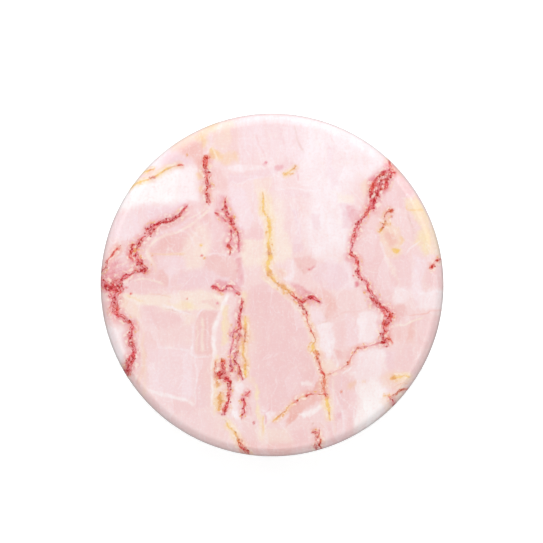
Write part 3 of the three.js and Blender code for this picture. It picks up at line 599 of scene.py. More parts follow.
# Fine lines, first to last: ink, strength, half width, and the course as x, y
LINES = [
    ("cream", 0.8, 0.14, "-6.9,8.9 -8.4,7.6 -9.8,6.7 -11,6.1 -12.6,5.6 -13.6,5 -14.2,4 -14,3 -13.6,2.2"),
    ("coral", 0.8, 0.2, "-9.4,8.2 -11,7.2 -12.8,6.4 -14,5.6 -14.7,4.6 -14.9,3.4"),
    ("cream", 0.6, 0.1, "-9.2,8.5 -11.2,7.5 -12.9,6.7 -14.1,5.9 -15,4.6 -15,3.2 -14.3,1.8"),
    ("snow", 0.6, 0.09, "-9.8,6.7 -8.9,5.8 -8.2,5.2"),
    ("cream", 0.75, 0.1, "-9.9,8.3 -11.6,7.3 -13,6.6 -14.1,5.5 -14.4,4.2 -14.2,2.9 -13.9,2"),
    ("orchid", 0.6, 0.12, "-9.2,7.7 -10.6,6.9 -12.4,6.1 -13.6,5.4"),
    ("snow", 0.55, 0.1, "-9.2,9.4 -10.4,8.6 -11.6,8"),
    ("snow", 0.6, 0.09, "-11,6.6 -9.9,6 -9.2,5.2 -9,4.2"),
    ("snow", 0.5, 0.08, "-8.6,8.9 -8.1,7.6 -7.4,6.6"),
    ("cream", 0.6, 0.09, "-5.4,6.2 -5.8,5 -5.6,4 -6.2,3.6"),
    ("snow", 0.6, 0.08, "-4.2,6.6 -4.6,5.4 -4.2,4.4 -4.5,3.4"),
    ("cream", 0.6, 0.1, "-16.6,-3.6 -15.4,-4.4 -15.2,-5.8 -15.3,-7 -15,-8.4 -15.3,-9.8 -16,-11.2"),
    ("peach", 0.6, 0.1, "-18.4,1.9 -17.2,2.5 -16,2.9"),
    ("cream", 0.6, 0.1, "-1.6,-17.4 -0.6,-16 0.6,-15.2 2,-14.2"),
    ("snow", 0.5, 0.1, "7.4,-12.6 8,-14.8 8.2,-17.4"),
    ("snow", 0.5, 0.1, "6.6,-14 7,-16.4 7.6,-18.6"),
    ("cream", 0.6, 0.09, "-7.3,9.4 -8.4,8.2 -9.6,7.6"),
    ("gold", 0.45, 0.1, "-14.2,3.6 -12,3.5 -9.9,3.6"),
    ("snow", 0.7, 0.08, "-7.6,3.5 -6.4,3.7 -5,3.4"),
    ("peach", 0.7, 0.12, "-14,3.2 -13.5,2.4 -13.6,1.2"),
    ("gold", 0.5, 0.1, "-17,-1.2 -16,-1.5 -14.6,-1.8"),
    ("cream", 0.8, 0.1, "-16.2,0.4 -14.4,0.6 -12.4,0"),
    ("amber", 0.3, 0.06, "-14.2,-1 -12.8,-1.1 -11.4,-1.4"),
    ("tan", 0.6, 0.06, "-12.6,-2.6 -11.2,-3 -10.2,-3.1 -9.2,-3.3"),
    ("snow", 0.7, 0.12, "-12.8,-2.3 -11.4,-2.7 -9.8,-3.3 -8.9,-3.5"),
    ("snow", 0.7, 0.1, "-8.8,-3.8 -8.2,-2.9 -7.6,-2.8"),
    ("cream", 0.7, 0.09, "-8.6,-4.2 -8.7,-7.8"),
    ("cream", 0.8, 0.16, "-8.1,-3.6 -8,-5.4 -8.1,-7.7"),
    ("snow", 0.5, 0.07, "-7.4,-3.4 -7.4,-5.4 -7.5,-7.7"),
    ("coral", 0.6, 0.07, "-7.7,-4 -7.7,-7.8"),
    ("coral", 0.7, 0.08, "-7,-4.6 -7.1,-7.8"),
    ("snow", 0.8, 0.1, "-9.1,-4.4 -9.2,-6.4 -9.1,-8.1 -7.2,-8.1"),
    ("snow", 0.6, 0.12, "-12.6,-7.2 -11,-7.3 -9.4,-7.7"),
    ("white", 0.95, 0.24, "-4.8,-0.8 -5.4,-1.7 -6,-3.2 -6.5,-4.8 -6.7,-6.4 -6.6,-8.4"),
    ("white", 0.8, 0.12, "-6.6,-8 -6.9,-9.6 -6.9,-12.8 -7,-14"),
    ("white", 0.7, 0.16, "-14.6,-12.1 -12,-12.7 -10,-13.3 -9,-13.9"),
    ("snow", 0.5, 0.1, "-9,-8.2 -8.6,-10 -8.9,-12 -8.8,-14"),
    ("orchid", 0.7, 0.08, "-8.9,-14.1 -7.2,-14"),
    ("peach", 0.7, 0.12, "-15.2,-4.4 -14.8,-5.4 -15,-7 -14.8,-8.8 -15.2,-10.4 -15.7,-11.6"),
    ("snow", 0.6, 0.08, "-15.7,-4.6 -15.5,-6 -15.2,-7.4 -15.2,-8.8 -15.8,-10.2"),
    ("salmon", 0.7, 0.1, "-1.8,17.6 -1.7,16.6 -1.2,15.8 -0.7,14.8"),
    ("tan", 0.4, 0.1, "2.6,18.6 2.8,17.6 3,16.6 3.6,15.2"),
    ("orchid", 0.5, 0.1, "0.7,19 0.9,17.8 1.3,16"),
    ("rose", 0.35, 0.09, "2.7,13.2 3,12.6 3.2,11.8"),
    ("snow", 0.5, 0.09, "-5,11.9 -3.4,11.8 -2.4,12.2 -1,12.4"),
    ("snow", 0.6, 0.1, "0.6,11 2,11.1 4,10.9 6,11 8,10.6"),
    ("snow", 0.6, 0.1, "2.6,5.8 3.2,7.4 3.4,8.6"),
    ("gold", 0.6, 0.1, "15.6,9.4 15.6,8.7 16.6,8.6 17.8,8.6"),
    ("tan", 0.5, 0.09, "15.7,8.5 15.9,7.4 16.3,6.2 16.3,5"),
    ("snow", 0.7, 0.09, "17.2,5.2 16.2,4.4 15.4,3.4"),
    ("white", 0.9, 0.1, "12.1,7.8 12.6,7.5 13.1,7.4"),
    ("white", 0.8, 0.1, "10.2,1.4 10.9,1 11.3,0.7"),
    ("snow", 0.6, 0.1, "12.4,5.2 12.9,4 13.2,2.6 13.6,1.6"),
    ("cream", 0.8, 0.1, "13.8,-4.9 15.2,-4.5 16.4,-4.1 17.6,-3.7"),
    ("clay", 0.7, 0.08, "15.6,-3.5 17.4,-3.3 18.6,-3 20.4,-2.9"),
    ("coral", 0.5, 0.08, "5.4,-4.6 6.4,-4.2 7.2,-3.7 8.2,-3.2 9.4,-3.1 10.6,-2.7 12,-2.4"),
    ("orchid", 0.8, 0.07, "9.7,-3.8 9.8,-5.4 9.8,-7"),
    ("rose", 0.4, 0.08, "14.8,-3 15.2,-3.8"),
    ("orchid", 0.5, 0.09, "6.6,-4.8 6.7,-6.6 7,-8.4"),
    ("white", 0.6, 0.12, "6.2,-7.6 7.2,-8 7.6,-9.2 7,-9.9"),
    ("cream", 0.6, 0.12, "7,-10.6 7.1,-12.8 7,-15 7.4,-17.4"),
    ("orchid", 0.7, 0.08, "7.9,-10.2 7.9,-12.4 8,-14.2"),
    ("snow", 0.7, 0.1, "9.6,-11.4 9.8,-13 9.5,-14.6 9.6,-16"),
    ("white", 0.8, 0.1, "9.4,-9.4 8.6,-9.8 7.8,-10.2"),
    ("cream", 0.8, 0.1, "-1.3,1.1 -0.4,0.2 0.4,-0.4 1,-0.8 1.8,-1.6 2.4,-2.4 3,-3.2"),
    ("white", 0.7, 0.12, "0.1,0 0.8,-0.4 1.3,-0.9"),
    ("snow", 0.6, 0.09, "-3.9,4.4 -4.2,3.8 -4.8,3.2 -5.2,2.8"),
    ("tan", 0.6, 0.06, "3.4,2.6 3.5,1.5 3.9,1.4"),
    ("rose", 0.6, 0.1, "4,1.9 4.5,1.8 5.1,2.4"),
    ("orchid", 0.7, 0.1, "6,0 6.6,-0.4 7,-0.9"),
    ("tan", 0.4, 0.08, "5.6,-2.4 6,-3.4 6.4,-4.2 5.8,-4.3 5,-3.6"),
    ("crimson", 0.5, 0.06, "2.6,-0.4 3.2,-1.2 3.9,-2.1"),
    ("crimson", 0.5, 0.06, "3.2,-0.1 3.8,-0.7 4.4,-1.6"),
    ("crimson", 0.4, 0.05, "3.8,-0.6 3.3,-1.3 2.9,-1.9"),
    ("white", 0.7, 0.1, "3.7,-0.9 4.2,-1.2 4,-1.6"),
    ("white", 0.6, 0.12, "-4.7,-11.4 -4.8,-13 -4.6,-14.6 -4.2,-15.8"),
    ("tan", 0.6, 0.08, "-5.6,-15.2 -5.2,-16.2 -4.6,-17"),
    ("gold", 0.8, 0.1, "-1.1,-14.8 -1.1,-16 -1,-17.4"),
    ("rose", 0.7, 0.07, "-1,-14.6 -0.8,-15.4 -0.6,-16.1"),
    ("rose", 0.5, 0.08, "-2.7,-13.6 -2.5,-14.4 -2.4,-15.2"),
    ("cream", 0.6, 0.1, "0.4,-15.4 1.4,-14.6 2.6,-13.7"),
    ("white", 0.6, 0.08, "-7.6,15.2 -7.2,16 -6.6,15 -6.1,14.3"),
    ("rose", 0.3, 0.08, "-0.2,-14.2 -1,-14.6 -1.4,-14.2"),
    ("snow", 0.4, 0.1, "-17.9,3 -17,3.4 -16.3,3.3"),
    ("coral", 0.7, 0.09, "-18.4,2 -17,2.2 -15.8,2.6"),
    ("crimson", 0.4, 0.06, "-19.9,1 -18.4,1.4 -17,1.8 -16,2.2"),
    ("crimson", 0.4, 0.06, "-18.9,0.8 -17.6,1.3 -16.6,1.7 -15.4,2.3"),
]

# Veins: layer, the wash beside them with its reach on the left and right, then x, y, half width
# and ink along the course. Veins in one layer keep apart.
VEINS = [
    (0, "rose", 0.35, 0.5, "-9.7,9.2,.05,crimson -10.2,8.7,.16,crimson -10.8,8.1,.24,wine "
     "-12.2,7.4,.26,wine -13.3,6.9,.24,crimson -13.9,6.4,.34,wine -14.6,5.6,.22,crimson "
     "-15.3,4.8,.3,wine -15.7,3.8,.3,crimson -15.6,3,.34,crimson -15.1,2.3,.42,wine -14.7,1.7,.3,wine "
     "-15.8,1.4,.22,wine -16.8,1.1,.22,crimson -17.5,0.6,.4,wine -17.9,0,.55,wine -18.1,-1,.5,crimson "
     "-18.1,-2,.4,wine -18.2,-2.8,.45,red -17.6,-3.5,.3,crimson -16.7,-4.1,.24,wine "
     "-16.2,-4.7,.24,crimson -16.2,-5.5,.26,crimson -16.4,-6.4,.32,wine -16.1,-7.2,.28,wine "
     "-16.1,-7.9,.26,crimson -16.4,-8.8,.42,wine -16.8,-9.8,.42,wine -17.4,-10.6,.35,wine "
     "-18.4,-11.6,.2,crimson"),
    (1, "rose", 0.4, 0.4, "-20.8,0.4,.4,crimson -19.8,0.2,.5,crimson -18.9,-0.2,.5,wine "
     "-18.2,-0.6,.3,crimson"),
    (2, "peach", 0.2, 0.3, "-20.4,1.2,.06,wine -19.6,1.8,.1,wine -19.1,2.4,.14,crimson -18.5,3.3,.12,red "
     "-17.9,4,.14,red -17.2,4.6,.06,orange"),
    (2, "rose", 0.3, 0.3, "-15.5,4.9,.05,crimson -16.1,4.3,.2,crimson -16.2,3.4,.16,red "
     "-16,2.6,.06,crimson"),
    (0, "clay", 0.6, 0.5, "-7.9,15.1,.06,orange -7.6,14.6,.24,red -7.6,13.8,.3,red -7.5,13.2,.28,wine "
     "-7.5,12.4,.26,red -7.4,11.6,.26,wine -7.6,10.9,.22,red -7.6,10.2,.2,wine -7.4,9.5,.22,red "
     "-7.2,9.1,.06,rose"),
    (0, "rose", 0.6, 0.8, "-5.2,10.4,.05,rose -5.4,9.6,.1,crimson -5.3,8.9,.2,crimson "
     "-5.2,8.1,.36,crimson -4.9,7.5,.4,crimson -4.5,6.8,.24,red -4,6.1,.12,wine -3.8,5.2,.14,crimson "
     "-3.7,4.5,.14,rose -3.7,3.7,.1,rose"),
    (1, "rose", 0.4, 0.3, "-6.8,8.4,.06,rose -6.2,8.2,.14,crimson -5.7,7.7,.14,rose -5.2,7.2,.1,crimson"),
    (2, "rose", 0.5, 0.5, "-4.8,6.6,.2,rose -4.6,5.6,.16,crimson -4.9,4.8,.2,crimson -4.6,4.1,.16,orange "
     "-4.8,3.4,.05,rose"),
    (1, "rose", 0.3, 0.3, "-7,-0.1,.16,wine -6.5,-0.2,.2,crimson -5.9,-0.6,.14,crimson -5.3,-0.3,.1,rose "
     "-4.8,0,.16,crimson -4.3,-0.5,.12,rose -3.9,-0.8,.2,crimson -3.5,-1.2,.06,orange"),
    (0, "rose", 0.3, 0.4, "-3.4,-1.3,.06,orange -3.5,-2.1,.1,crimson -3.6,-2.9,.16,wine "
     "-3.8,-3.6,.22,crimson -3.9,-4.3,.16,crimson -3.7,-4.9,.3,red -4.1,-5.4,.2,crimson "
     "-3.7,-5.9,.18,wine -3.9,-6.7,.2,wine -4,-7.6,.2,wine -4.1,-8.3,.2,wine -4.4,-8.9,.18,wine "
     "-3.8,-9.3,.16,crimson -3.9,-10,.2,wine -3.5,-10.7,.26,wine -3.2,-11.1,.06,crimson"),
    (1, "rose", 0.2, 0.2, "-4.3,-4.9,.06,rose -4.5,-5.5,.2,rose -4.4,-6.2,.16,rose -4.6,-7.6,.12,rose "
     "-4.8,-8.8,.1,rose -4.7,-9.6,.18,wine -4.9,-10.2,.1,crimson"),
    (2, "clay", 0.2, 0.2, "-5.8,-8.2,.06,amber -5.7,-9,.26,red -5.7,-9.8,.26,wine -5.9,-10.5,.36,wine "
     "-5.2,-10.9,.3,crimson -4.9,-11.4,.22,wine -5.1,-12.4,.2,crimson -5.1,-13.4,.2,crimson "
     "-5.4,-14.3,.24,crimson -5.6,-15.1,.12,rose"),
    (0, "gold", 0.4, 0.3, "-6,-12,.06,amber -6,-12.8,.24,amber -6,-13.8,.22,amber -6.1,-14.7,.06,gold"),
    (0, "peach", 0.3, 0.2, "-6.4,-8.4,.05,amber -6.4,-9.4,.14,orange -6.4,-10.4,.2,orange "
     "-6.3,-11.3,.14,amber -6.4,-11.9,.05,gold"),
    (1, "gold", 0.3, 0.3, "-3,-3.4,.04,gold -3.1,-4.4,.1,gold -3.1,-6,.08,orange -3.2,-7.4,.14,gold "
     "-3.1,-8.6,.1,amber -3.2,-9.8,.14,gold -2.9,-10.8,.04,gold"),
    (1, "rose", 0.15, 0.2, "-2.3,-12.1,.05,crimson -2.8,-12.5,.14,crimson -3.3,-13.1,.18,crimson "
     "-3.2,-13.9,.16,crimson -3.4,-14.8,.18,red -3.7,-15.7,.06,orange"),
    (0, "butter", 0.4, 0.4, "-1.2,10.8,.05,gold -1.1,9.8,.12,gold -0.9,8.8,.1,gold -0.5,7.8,.18,gold "
     "-0.3,6.8,.2,gold -0.4,5.8,.14,gold -0.5,4.8,.18,gold -0.4,3.8,.22,amber -0.2,3,.22,gold "
     "-0.5,2.1,.22,gold -0.4,1.4,.24,amber 0,0.8,.2,gold 0.5,0.2,.18,amber 1.2,-0.1,.16,amber "
     "1.9,-0.7,.2,amber 2.5,-1.3,.18,red 3.1,-2,.22,wine 3.6,-2.6,.2,wine 3.9,-3.3,.14,crimson "
     "4.1,-4.1,.13,red 4.5,-4.9,.13,red 4.8,-5.8,.1,orange 4.9,-6.6,.13,amber 4.8,-7.3,.22,gold "
     "5.3,-8.1,.15,orange 5.5,-8.9,.15,orange 5.8,-9.8,.15,red 6.1,-10.4,.2,red 5.9,-11.2,.2,orange "
     "5.9,-12,.2,orange 6.2,-12.5,.18,red 6.4,-13.3,.18,gold 6.5,-14.4,.16,gold 6.8,-15.8,.06,gold"),
    (1, "rose", 0.3, 0.3, "2.9,-1.9,.06,crimson 3.5,-1.9,.2,wine 4,-1.7,.14,crimson 4.4,-1.3,.2,wine "
     "4.9,-1.5,.14,crimson 5.3,-1.9,.2,wine 5.8,-2.1,.05,crimson"),
    (1, "clay", 0.3, 0.4, "6.1,-12.5,.05,orange 5.1,-12.6,.05,orange 4.1,-12.7,.1,red 3.4,-13,.04,gold "
     "2.8,-13.4,.1,red 2.2,-13.8,.04,gold 1.4,-14.6,.06,amber 0.7,-15.2,.1,amber -0.1,-15.9,.05,gold"),
    (0, "rose", 0.4, 0.4, "14.6,15.6,.2,crimson 13.8,14.5,.2,red 13.7,13.4,.24,crimson 13.4,12.8,.4,wine "
     "12.7,12,.46,wine 12.3,11.3,.42,wine 11.9,10.6,.4,wine 11.7,9.9,.36,wine 11.4,9.1,.34,crimson "
     "11,8.6,.2,red 10.8,7.9,.16,crimson 10.3,7.4,.22,wine 9.9,6.6,.24,crimson 9.6,5.8,.24,crimson "
     "9.3,5.1,.2,crimson 9.2,4.5,.14,rose 9.1,4,.16,crimson 9.4,3.2,.22,red 9.8,2.5,.24,red "
     "9.9,1.8,.16,crimson 9.9,1.2,.14,crimson 10.4,0.6,.2,crimson 11,0.1,.2,crimson "
     "11.2,-0.6,.22,crimson 11.6,-1.4,.28,wine 12,-2.2,.34,wine 12.7,-2.6,.34,crimson 13.3,-2.9,.42,red "
     "13.5,-3.6,.42,red 13.1,-4.4,.32,wine 12.9,-5.2,.26,red 12.7,-6,.3,wine 12.9,-6.6,.3,wine "
     "13.2,-7.2,.06,crimson"),
    (1, "rose", 0.3, 0.3, "14.4,13,.3,red 13.9,12.9,.2,crimson 13.5,12.2,.24,wine 13.3,11.5,.2,crimson "
     "12.8,10.9,.14,crimson"),
    (2, "rose", 0.4, 0.3, "13.4,13.2,.1,crimson 12.8,12.9,.24,wine 12.1,12.3,.24,crimson "
     "11.6,11.2,.2,red 11.3,10.5,.2,wine 11.2,9.8,.05,crimson"),
    (1, "coral", 0.3, 0.3, "13.9,-6.9,.06,orange 13.2,-6.3,.2,red 12.6,-6.7,.16,wine 11.4,-7,.05,rose "
     "10.4,-7.3,.1,red 9.9,-7.3,.1,orange 9.5,-8,.05,rose 9,-8.7,.08,orange 8.5,-9.2,.06,orange "
     "7.8,-9.7,.05,clay 7,-10,.04,clay 6.2,-10.3,.08,orange"),
    (2, "peach", 0.4, 0.4, "14,8.8,.1,wine 13.4,8.4,.16,orange 12.9,7.9,.06,orange 13.2,7.2,.14,amber "
     "12.9,6.9,.2,orange 12.6,6.4,.16,amber 12.2,5.9,.06,gold"),
    (2, "butter", 0.2, 0.2, "20.6,3.2,.1,crimson 19.6,2.8,.16,red 18.7,2.4,.14,red 18.4,2,.22,red "
     "18,1.9,.05,orange"),
    (0, "butter", 0.3, 0.3, "13.4,-10.9,.05,gold 13.8,-10.7,.16,amber 14.5,-10.6,.14,gold "
     "15.3,-10.5,.12,gold 16.1,-10.7,.05,gold"),
    (0, "peach", 0.3, 0.3, "12.7,-12.7,.05,gold 13.4,-12.8,.08,amber 14.2,-12.6,.14,orange "
     "15,-12.2,.2,orange 16.2,-12.2,.1,red"),
    (1, "rose", 0.3, 0.2, "13.3,-12.8,.05,red 13.8,-13.2,.14,crimson 14.2,-13.8,.2,wine "
     "14.8,-14.8,.1,crimson"),
    (0, "peach", 0.2, 0.2, "4.4,-17.1,.1,wine 4.9,-16.9,.16,wine 5.2,-17,.2,crimson 5.1,-17.7,.2,wine "
     "5.3,-18.2,.2,crimson 4.9,-18.8,.2,wine 5.2,-19.8,.1,crimson"),
    (1, "peach", 0.2, 0.2, "5.6,-16.4,.05,red 5.4,-17.2,.1,red 5.6,-18,.1,orange 5.4,-18.6,.14,wine "
     "5.8,-19.4,.05,red"),
    (1, "butter", 0.3, 0.3, "-5.4,-15.8,.04,gold -4.8,-16.6,.08,gold -4,-17.6,.1,amber "
     "-3.4,-18.4,.26,red -2.9,-19.2,.2,wine -2.4,-20.4,.1,orange"),
    (1, "butter", 0.2, 0.3, "-10.2,13.9,.05,rose -10.7,13.8,.12,red -11.4,13.6,.08,amber "
     "-12.4,13.2,.1,gold -13.2,12.7,.1,gold -13.7,12.4,.14,orange -14.6,12,.12,gold -15.8,11.7,.14,gold "
     "-17.4,11.3,.05,gold"),
    (2, "butter", 0.2, 0.2, "-15.6,13.2,.05,gold -14.6,13.3,.1,gold -14.2,13.4,.12,amber "
     "-13.4,13.5,.05,gold"),
    (1, "butter", 0.2, 0.3, "2.8,13.9,.05,amber 2.6,13.4,.1,amber 2,13,.1,gold 1,12.6,.05,gold"),
]

# Lone specks: x, y, radius, ink
SPECKS = [
    (-13.6, 12.4, 0.14, "wine"), (-14.2, 13.3, 0.09, "amber"), (-9.8, 15.0, 0.1, "amber"),
    (-17.8, 4.1, 0.14, "red"), (-18.5, 3.3, 0.12, "wine"), (-8.2, 4.6, 0.16, "gold"),
    (-8.1, 3.4, 0.1, "red"), (-7.8, 3.1, 0.12, "amber"), (-13.8, 3.4, 0.07, "amber"),
    (-9.8, -1.6, 0.07, "orange"), (-6.3, -2.1, 0.12, "rose"), (-4.0, 6.2, 0.14, "wine"),
    (-3.5, -2.0, 0.1, "wine"), (-4.7, -4.6, 0.12, "amber"), (-2.1, -15.9, 0.14, "wine"),
    (13.8, 8.6, 0.14, "wine"), (13.8, 7.9, 0.11, "wine"), (4.3, 1.8, 0.09, "crimson"),
    (4.0, -12.7, 0.15, "red"), (8.0, -12.3, 0.12, "orange"), (18.4, 2.0, 0.14, "wine"),
    (4.7, -16.0, 0.09, "tan"), (9.4, 1.1, 0.1, "crimson"), (-0.7, 14.1, 0.14, "rose"),
    (-16.3, -1.0, 0.12, "red"), (-16.8, -0.3, 0.12, "crimson"), (-16.6, 0.5, 0.1, "rose"),
]

# Broad soft washes over the patches: ink, strength, centre x and y, and how far it reaches
WASHES = [
    ("coral", 0.3, -14, 4, 2.4, 3.4),
    ("coral", 0.25, 6, -10.5, 1.8, 2.4),
    ("butter", 0.3, -6, -12, 1.4, 3.4),
    ("peach", 0.4, -3, -6, 1.4, 2.2),
    ("coral", 0.4, 0, -18.6, 4, 1.6),
    ("coral", 0.3, 10.5, -10.5, 1.8, 1.8),
    ("coral", 0.25, 12, 7.5, 1.6, 2),
    ("snow", 0.35, 0, 13.5, 3.4, 5.5),
    ("coral", 0.3, -14.5, 3, 2, 2),
    ("salmon", 0.3, -9, 6, 2, 2),
    ("coral", 0.2, 0, -1.5, 3, 1.8),
    ("lilac", 0.35, -9, -15.6, 3.2, 1.8),
    ("rose", 0.3, 14.4, 13.6, 1.4, 1.2),
    ("rose", 0.25, -18.6, 1.4, 1.6, 1.2),
]

EDGE_SOFTENING = 1.4  # over the patches' own softness
TOP_TONE = (1.0, 0.985, 0.975)
PAINTED_SHADE_FALL = (0.038, 0.052, 0.068)  # painted shade: the print is made a little darker away from +Y, where less light falls
PAINTED_SHADE_FROM, PAINTED_SHADE_TO = 16, -4
GRID_MM = 0.15
RIM_LOOPS = 12
SIDE_LOOPS = 2
INNER_LOOPS = 5
DROP_SHARE = 0.35  # how much the print's outer part is drawn out by the rim's drop
VEIN_LAYERS = 3
VEIN_REACH = 1.2
WASH_SHARE = 0.62
LINE_REACH = 1.0
FRAY_REACH = 0.3
FAR_AWAY = 9.0
FIELD_SHIFT = 640.37  # keeps a random field's cell numbers positive


def outline_of(text):
    return np.array([[float(v) for v in pair.split(",")] for pair in text.split()])


def drift(points, size, seed):
    """A smooth random field from -1 to 1 over the plane, with features of this size in mm."""
    cells = 64
    table = np.random.default_rng(seed).uniform(-1, 1, (cells, cells))
    q = points / size + FIELD_SHIFT
    cell = np.floor(q).astype(int)
    f = q - cell
    f = f * f * (3 - 2 * f)
    i, j = cell[:, 0] % cells, cell[:, 1] % cells
    i1, j1 = (i + 1) % cells, (j + 1) % cells
    low = table[i, j] * (1 - f[:, 0]) + table[i1, j] * f[:, 0]
    high = table[i, j1] * (1 - f[:, 0]) + table[i1, j1] * f[:, 0]
    return low * (1 - f[:, 1]) + high * f[:, 1]


def wander(points, size, reach, seed):
    """The points, each moved a little by two smooth random fields."""
    return points + reach * np.stack([drift(points, size, seed), drift(points, size, seed + 1)], 1)


def step(low, high, x):
    t = np.clip((x - low) / (high - low), 0, 1)
    return t * t * (3 - 2 * t)


def tapered(along, total, start, end):
    """A share that rises from start to end at both ends of a course."""
    return step(start, end, along) * step(start, end, total - along)


def smooth_course(points, per_span=6):
    """A smooth curve through rows of numbers, which may hold more than x and y."""
    p = np.asarray(points, float)
    p = np.vstack([2 * p[0] - p[1], p, 2 * p[-1] - p[-2]])
    rows = []
    for i in range(1, len(p) - 2):
        a, b, c, d = p[i - 1:i + 3]
        for k in range(per_span):
            t = k / per_span
            square = (2 * a - 5 * b + 4 * c - d) * t**2
            cube = (3 * b - a - 3 * c + d) * t**3
            rows.append(0.5 * (2 * b + (c - a) * t + square + cube))
    rows.append(p[-2])
    return np.array(rows)


def within(points, course, reach):
    """The indices of the points that lie in the course's box, made wider by reach."""
    low, high = course[:, :2].min(0) - reach, course[:, :2].max(0) + reach
    return np.flatnonzero(((points > low) & (points < high)).all(1))


def nearest_on(course, points):
    """For each point: signed distance to the course (left is positive), distance along it, the
    course's own numbers there, and the course's length."""
    a, b = course[:-1, :2], course[1:, :2]
    span = b - a
    length = np.hypot(span[:, 0], span[:, 1])
    start = np.concatenate([[0], np.cumsum(length)[:-1]])
    offset = points[:, None, :] - a[None]
    t = np.clip((offset * span).sum(2) / (length**2), 0, 1)
    gap = offset - t[..., None] * span
    distance = np.hypot(gap[..., 0], gap[..., 1])
    best = distance.argmin(1)
    rows = np.arange(len(points))
    t = t[rows, best]
    side = np.sign(span[best, 0] * offset[rows, best, 1] - span[best, 1] * offset[rows, best, 0])
    along = start[best] + t * length[best]
    own = course[best] * (1 - t[:, None]) + course[best + 1] * t[:, None]
    return side * distance[rows, best], along, own, length.sum()


def inside(outline, points):
    """Whether each point is inside the outline."""
    a, b = outline, np.roll(outline, -1, 0)
    x, y = points[:, :1], points[:, 1:]
    rise = np.where(b[:, 1] == a[:, 1], 1e-9, b[:, 1] - a[:, 1])
    crossing_x = a[:, 0] + (y - a[:, 1]) / rise * (b[:, 0] - a[:, 0])
    crosses = ((a[:, 1] > y) != (b[:, 1] > y)) & (x < crossing_x)
    return crosses.sum(1) % 2 == 1


def blend_in(colour, where, share, ink):
    share = np.clip(share, 0, 1)
    colour[where] += share[:, None] * (np.array(INK[ink][:3]) - colour[where])


def paint_patches(colour, points, bent, depth_of_tint):
    fray = 0.12 * drift(points, size=0.35, seed=31) + 0.15 * drift(points, size=1.0, seed=32)
    for ink, strength, soft, text in PATCHES:
        outline = outline_of(text)
        soft = EDGE_SOFTENING * soft
        near = within(bent, outline, soft + FRAY_REACH)
        closed = np.vstack([outline, outline[:1]])
        gap = np.abs(nearest_on(closed, bent[near])[0])
        depth = np.where(inside(outline, bent[near]), gap, -gap) + fray[near]
        blend_in(colour, near, strength * depth_of_tint[near] * step(-soft, soft, depth), ink)


def paint_washes(colour, bent, depth_of_tint):
    for ink, strength, x, y, reach_x, reach_y in WASHES:
        away = ((bent[:, 0] - x) / reach_x) ** 2 + ((bent[:, 1] - y) / reach_y) ** 2
        blend_in(colour, np.arange(len(bent)), strength * depth_of_tint * np.exp(-away), ink)


def paint_lines(colour, points, bent):
    for ink, strength, half, text in LINES:
        course = smooth_course(outline_of(text))
        near = within(bent, course, LINE_REACH)
        across, along, _, total = nearest_on(course, bent[near])
        ends = tapered(along, total, -0.1, 0.5)
        uneven = 0.75 + 0.35 * drift(points[near], size=0.7, seed=51)
        body = 1 - step(half * 0.5, half * 1.6, np.abs(across))
        blend_in(colour, near, strength * ends * uneven * body, ink)


def empty_layer(count):
    return {
        "across": np.full(count, FAR_AWAY), "along": np.zeros(count), "amount": np.zeros(count),
        "ink": np.ones((count, 3)), "width": np.full(count, 0.1),
    }


def paint_veins(colour, points, bent):
    """Washes beside the veins, and each layer's nearest vein at each point."""
    layers = [empty_layer(len(points)) for _ in range(VEIN_LAYERS)]
    for layer, wash, left, right, text in VEINS:
        stops = [stop.split(",") for stop in text.split()]
        course = smooth_course([(float(x), float(y), float(w), *INK[ink][:3]) for x, y, w, ink in stops])
        near = within(bent, course, VEIN_REACH)
        across, along, own, total = nearest_on(course, bent[near])
        ends = tapered(along, total, 0, 0.3)
        side = np.where(across > 0, left, right)
        body = np.clip(own[:, 2], 0.08, 0.6)
        uneven = 0.8 + 0.3 * drift(points[near], size=0.45, seed=61 + layer)
        wash_reach = 1.25 * side + 1.6 * body + 0.15
        share = WASH_SHARE * ends * uneven * (1 - step(0, 1, np.abs(across) / wash_reach))
        blend_in(colour, near, share, wash)
        here = layers[layer]
        amount = ends * (1 - step(VEIN_REACH * 0.7, VEIN_REACH, np.abs(across)))
        win = np.abs(across) < np.abs(here["across"][near])
        chosen = near[win]
        here["across"][chosen] = across[win]
        here["along"][chosen] = along[win]
        here["amount"][chosen] = amount[win]
        here["ink"][chosen] = np.clip(own[win, 3:6], 0, 1)
        here["width"][chosen] = own[win, 2]
    return layers


def paint_specks(colour, points):
    for x, y, radius, ink in SPECKS:
        distance = np.hypot(points[:, 0] - x, points[:, 1] - y)
        near = np.flatnonzero(distance < 2 * radius + 0.1)
        blend_in(colour, near, 0.9 * (1 - step(radius * 0.6, radius + 0.1, distance[near])), ink)


def paint(points):
    """The print at each point of the face: its tint, with painted shade towards -Y, and where each layer's
    veins run.
    """
    bent = wander(points, size=1.8, reach=0.14, seed=11)
    bent = wander(bent, size=0.6, reach=0.1, seed=21)
    streaks = drift(points * (1, 0.25), size=0.35, seed=34)
    depth_of_tint = 0.95 + 0.26 * drift(points, size=1.5, seed=33) + 0.14 * streaks
    colour = np.tile(np.array(INK["blush"][:3]), (len(points), 1))
    paint_patches(colour, points, bent, depth_of_tint)
    paint_washes(colour, bent, depth_of_tint)
    paint_lines(colour, points, bent)
    # painted shade: the print is darkened towards -Y, away from the light
    painted_shade = step(PAINTED_SHADE_FROM, PAINTED_SHADE_TO, points[:, 1])[:, None]
    colour *= np.array(TOP_TONE) - painted_shade * np.array(PAINTED_SHADE_FALL)
    layers = paint_veins(colour, points, bent)
    paint_specks(colour, points)
    return np.clip(colour, 0, 1), layers


def square_to_turn(i, j, ring):
    """The turn of a grid point once its square ring is bent into a circle."""
    eighth = math.pi / 4
    if ring == 0:
        return 0.0
    if abs(i) >= abs(j):
        return eighth * j / ring if i > 0 else math.pi - eighth * j / ring
    return 2 * eighth - eighth * i / ring if j > 0 else -2 * eighth + eighth * i / ring


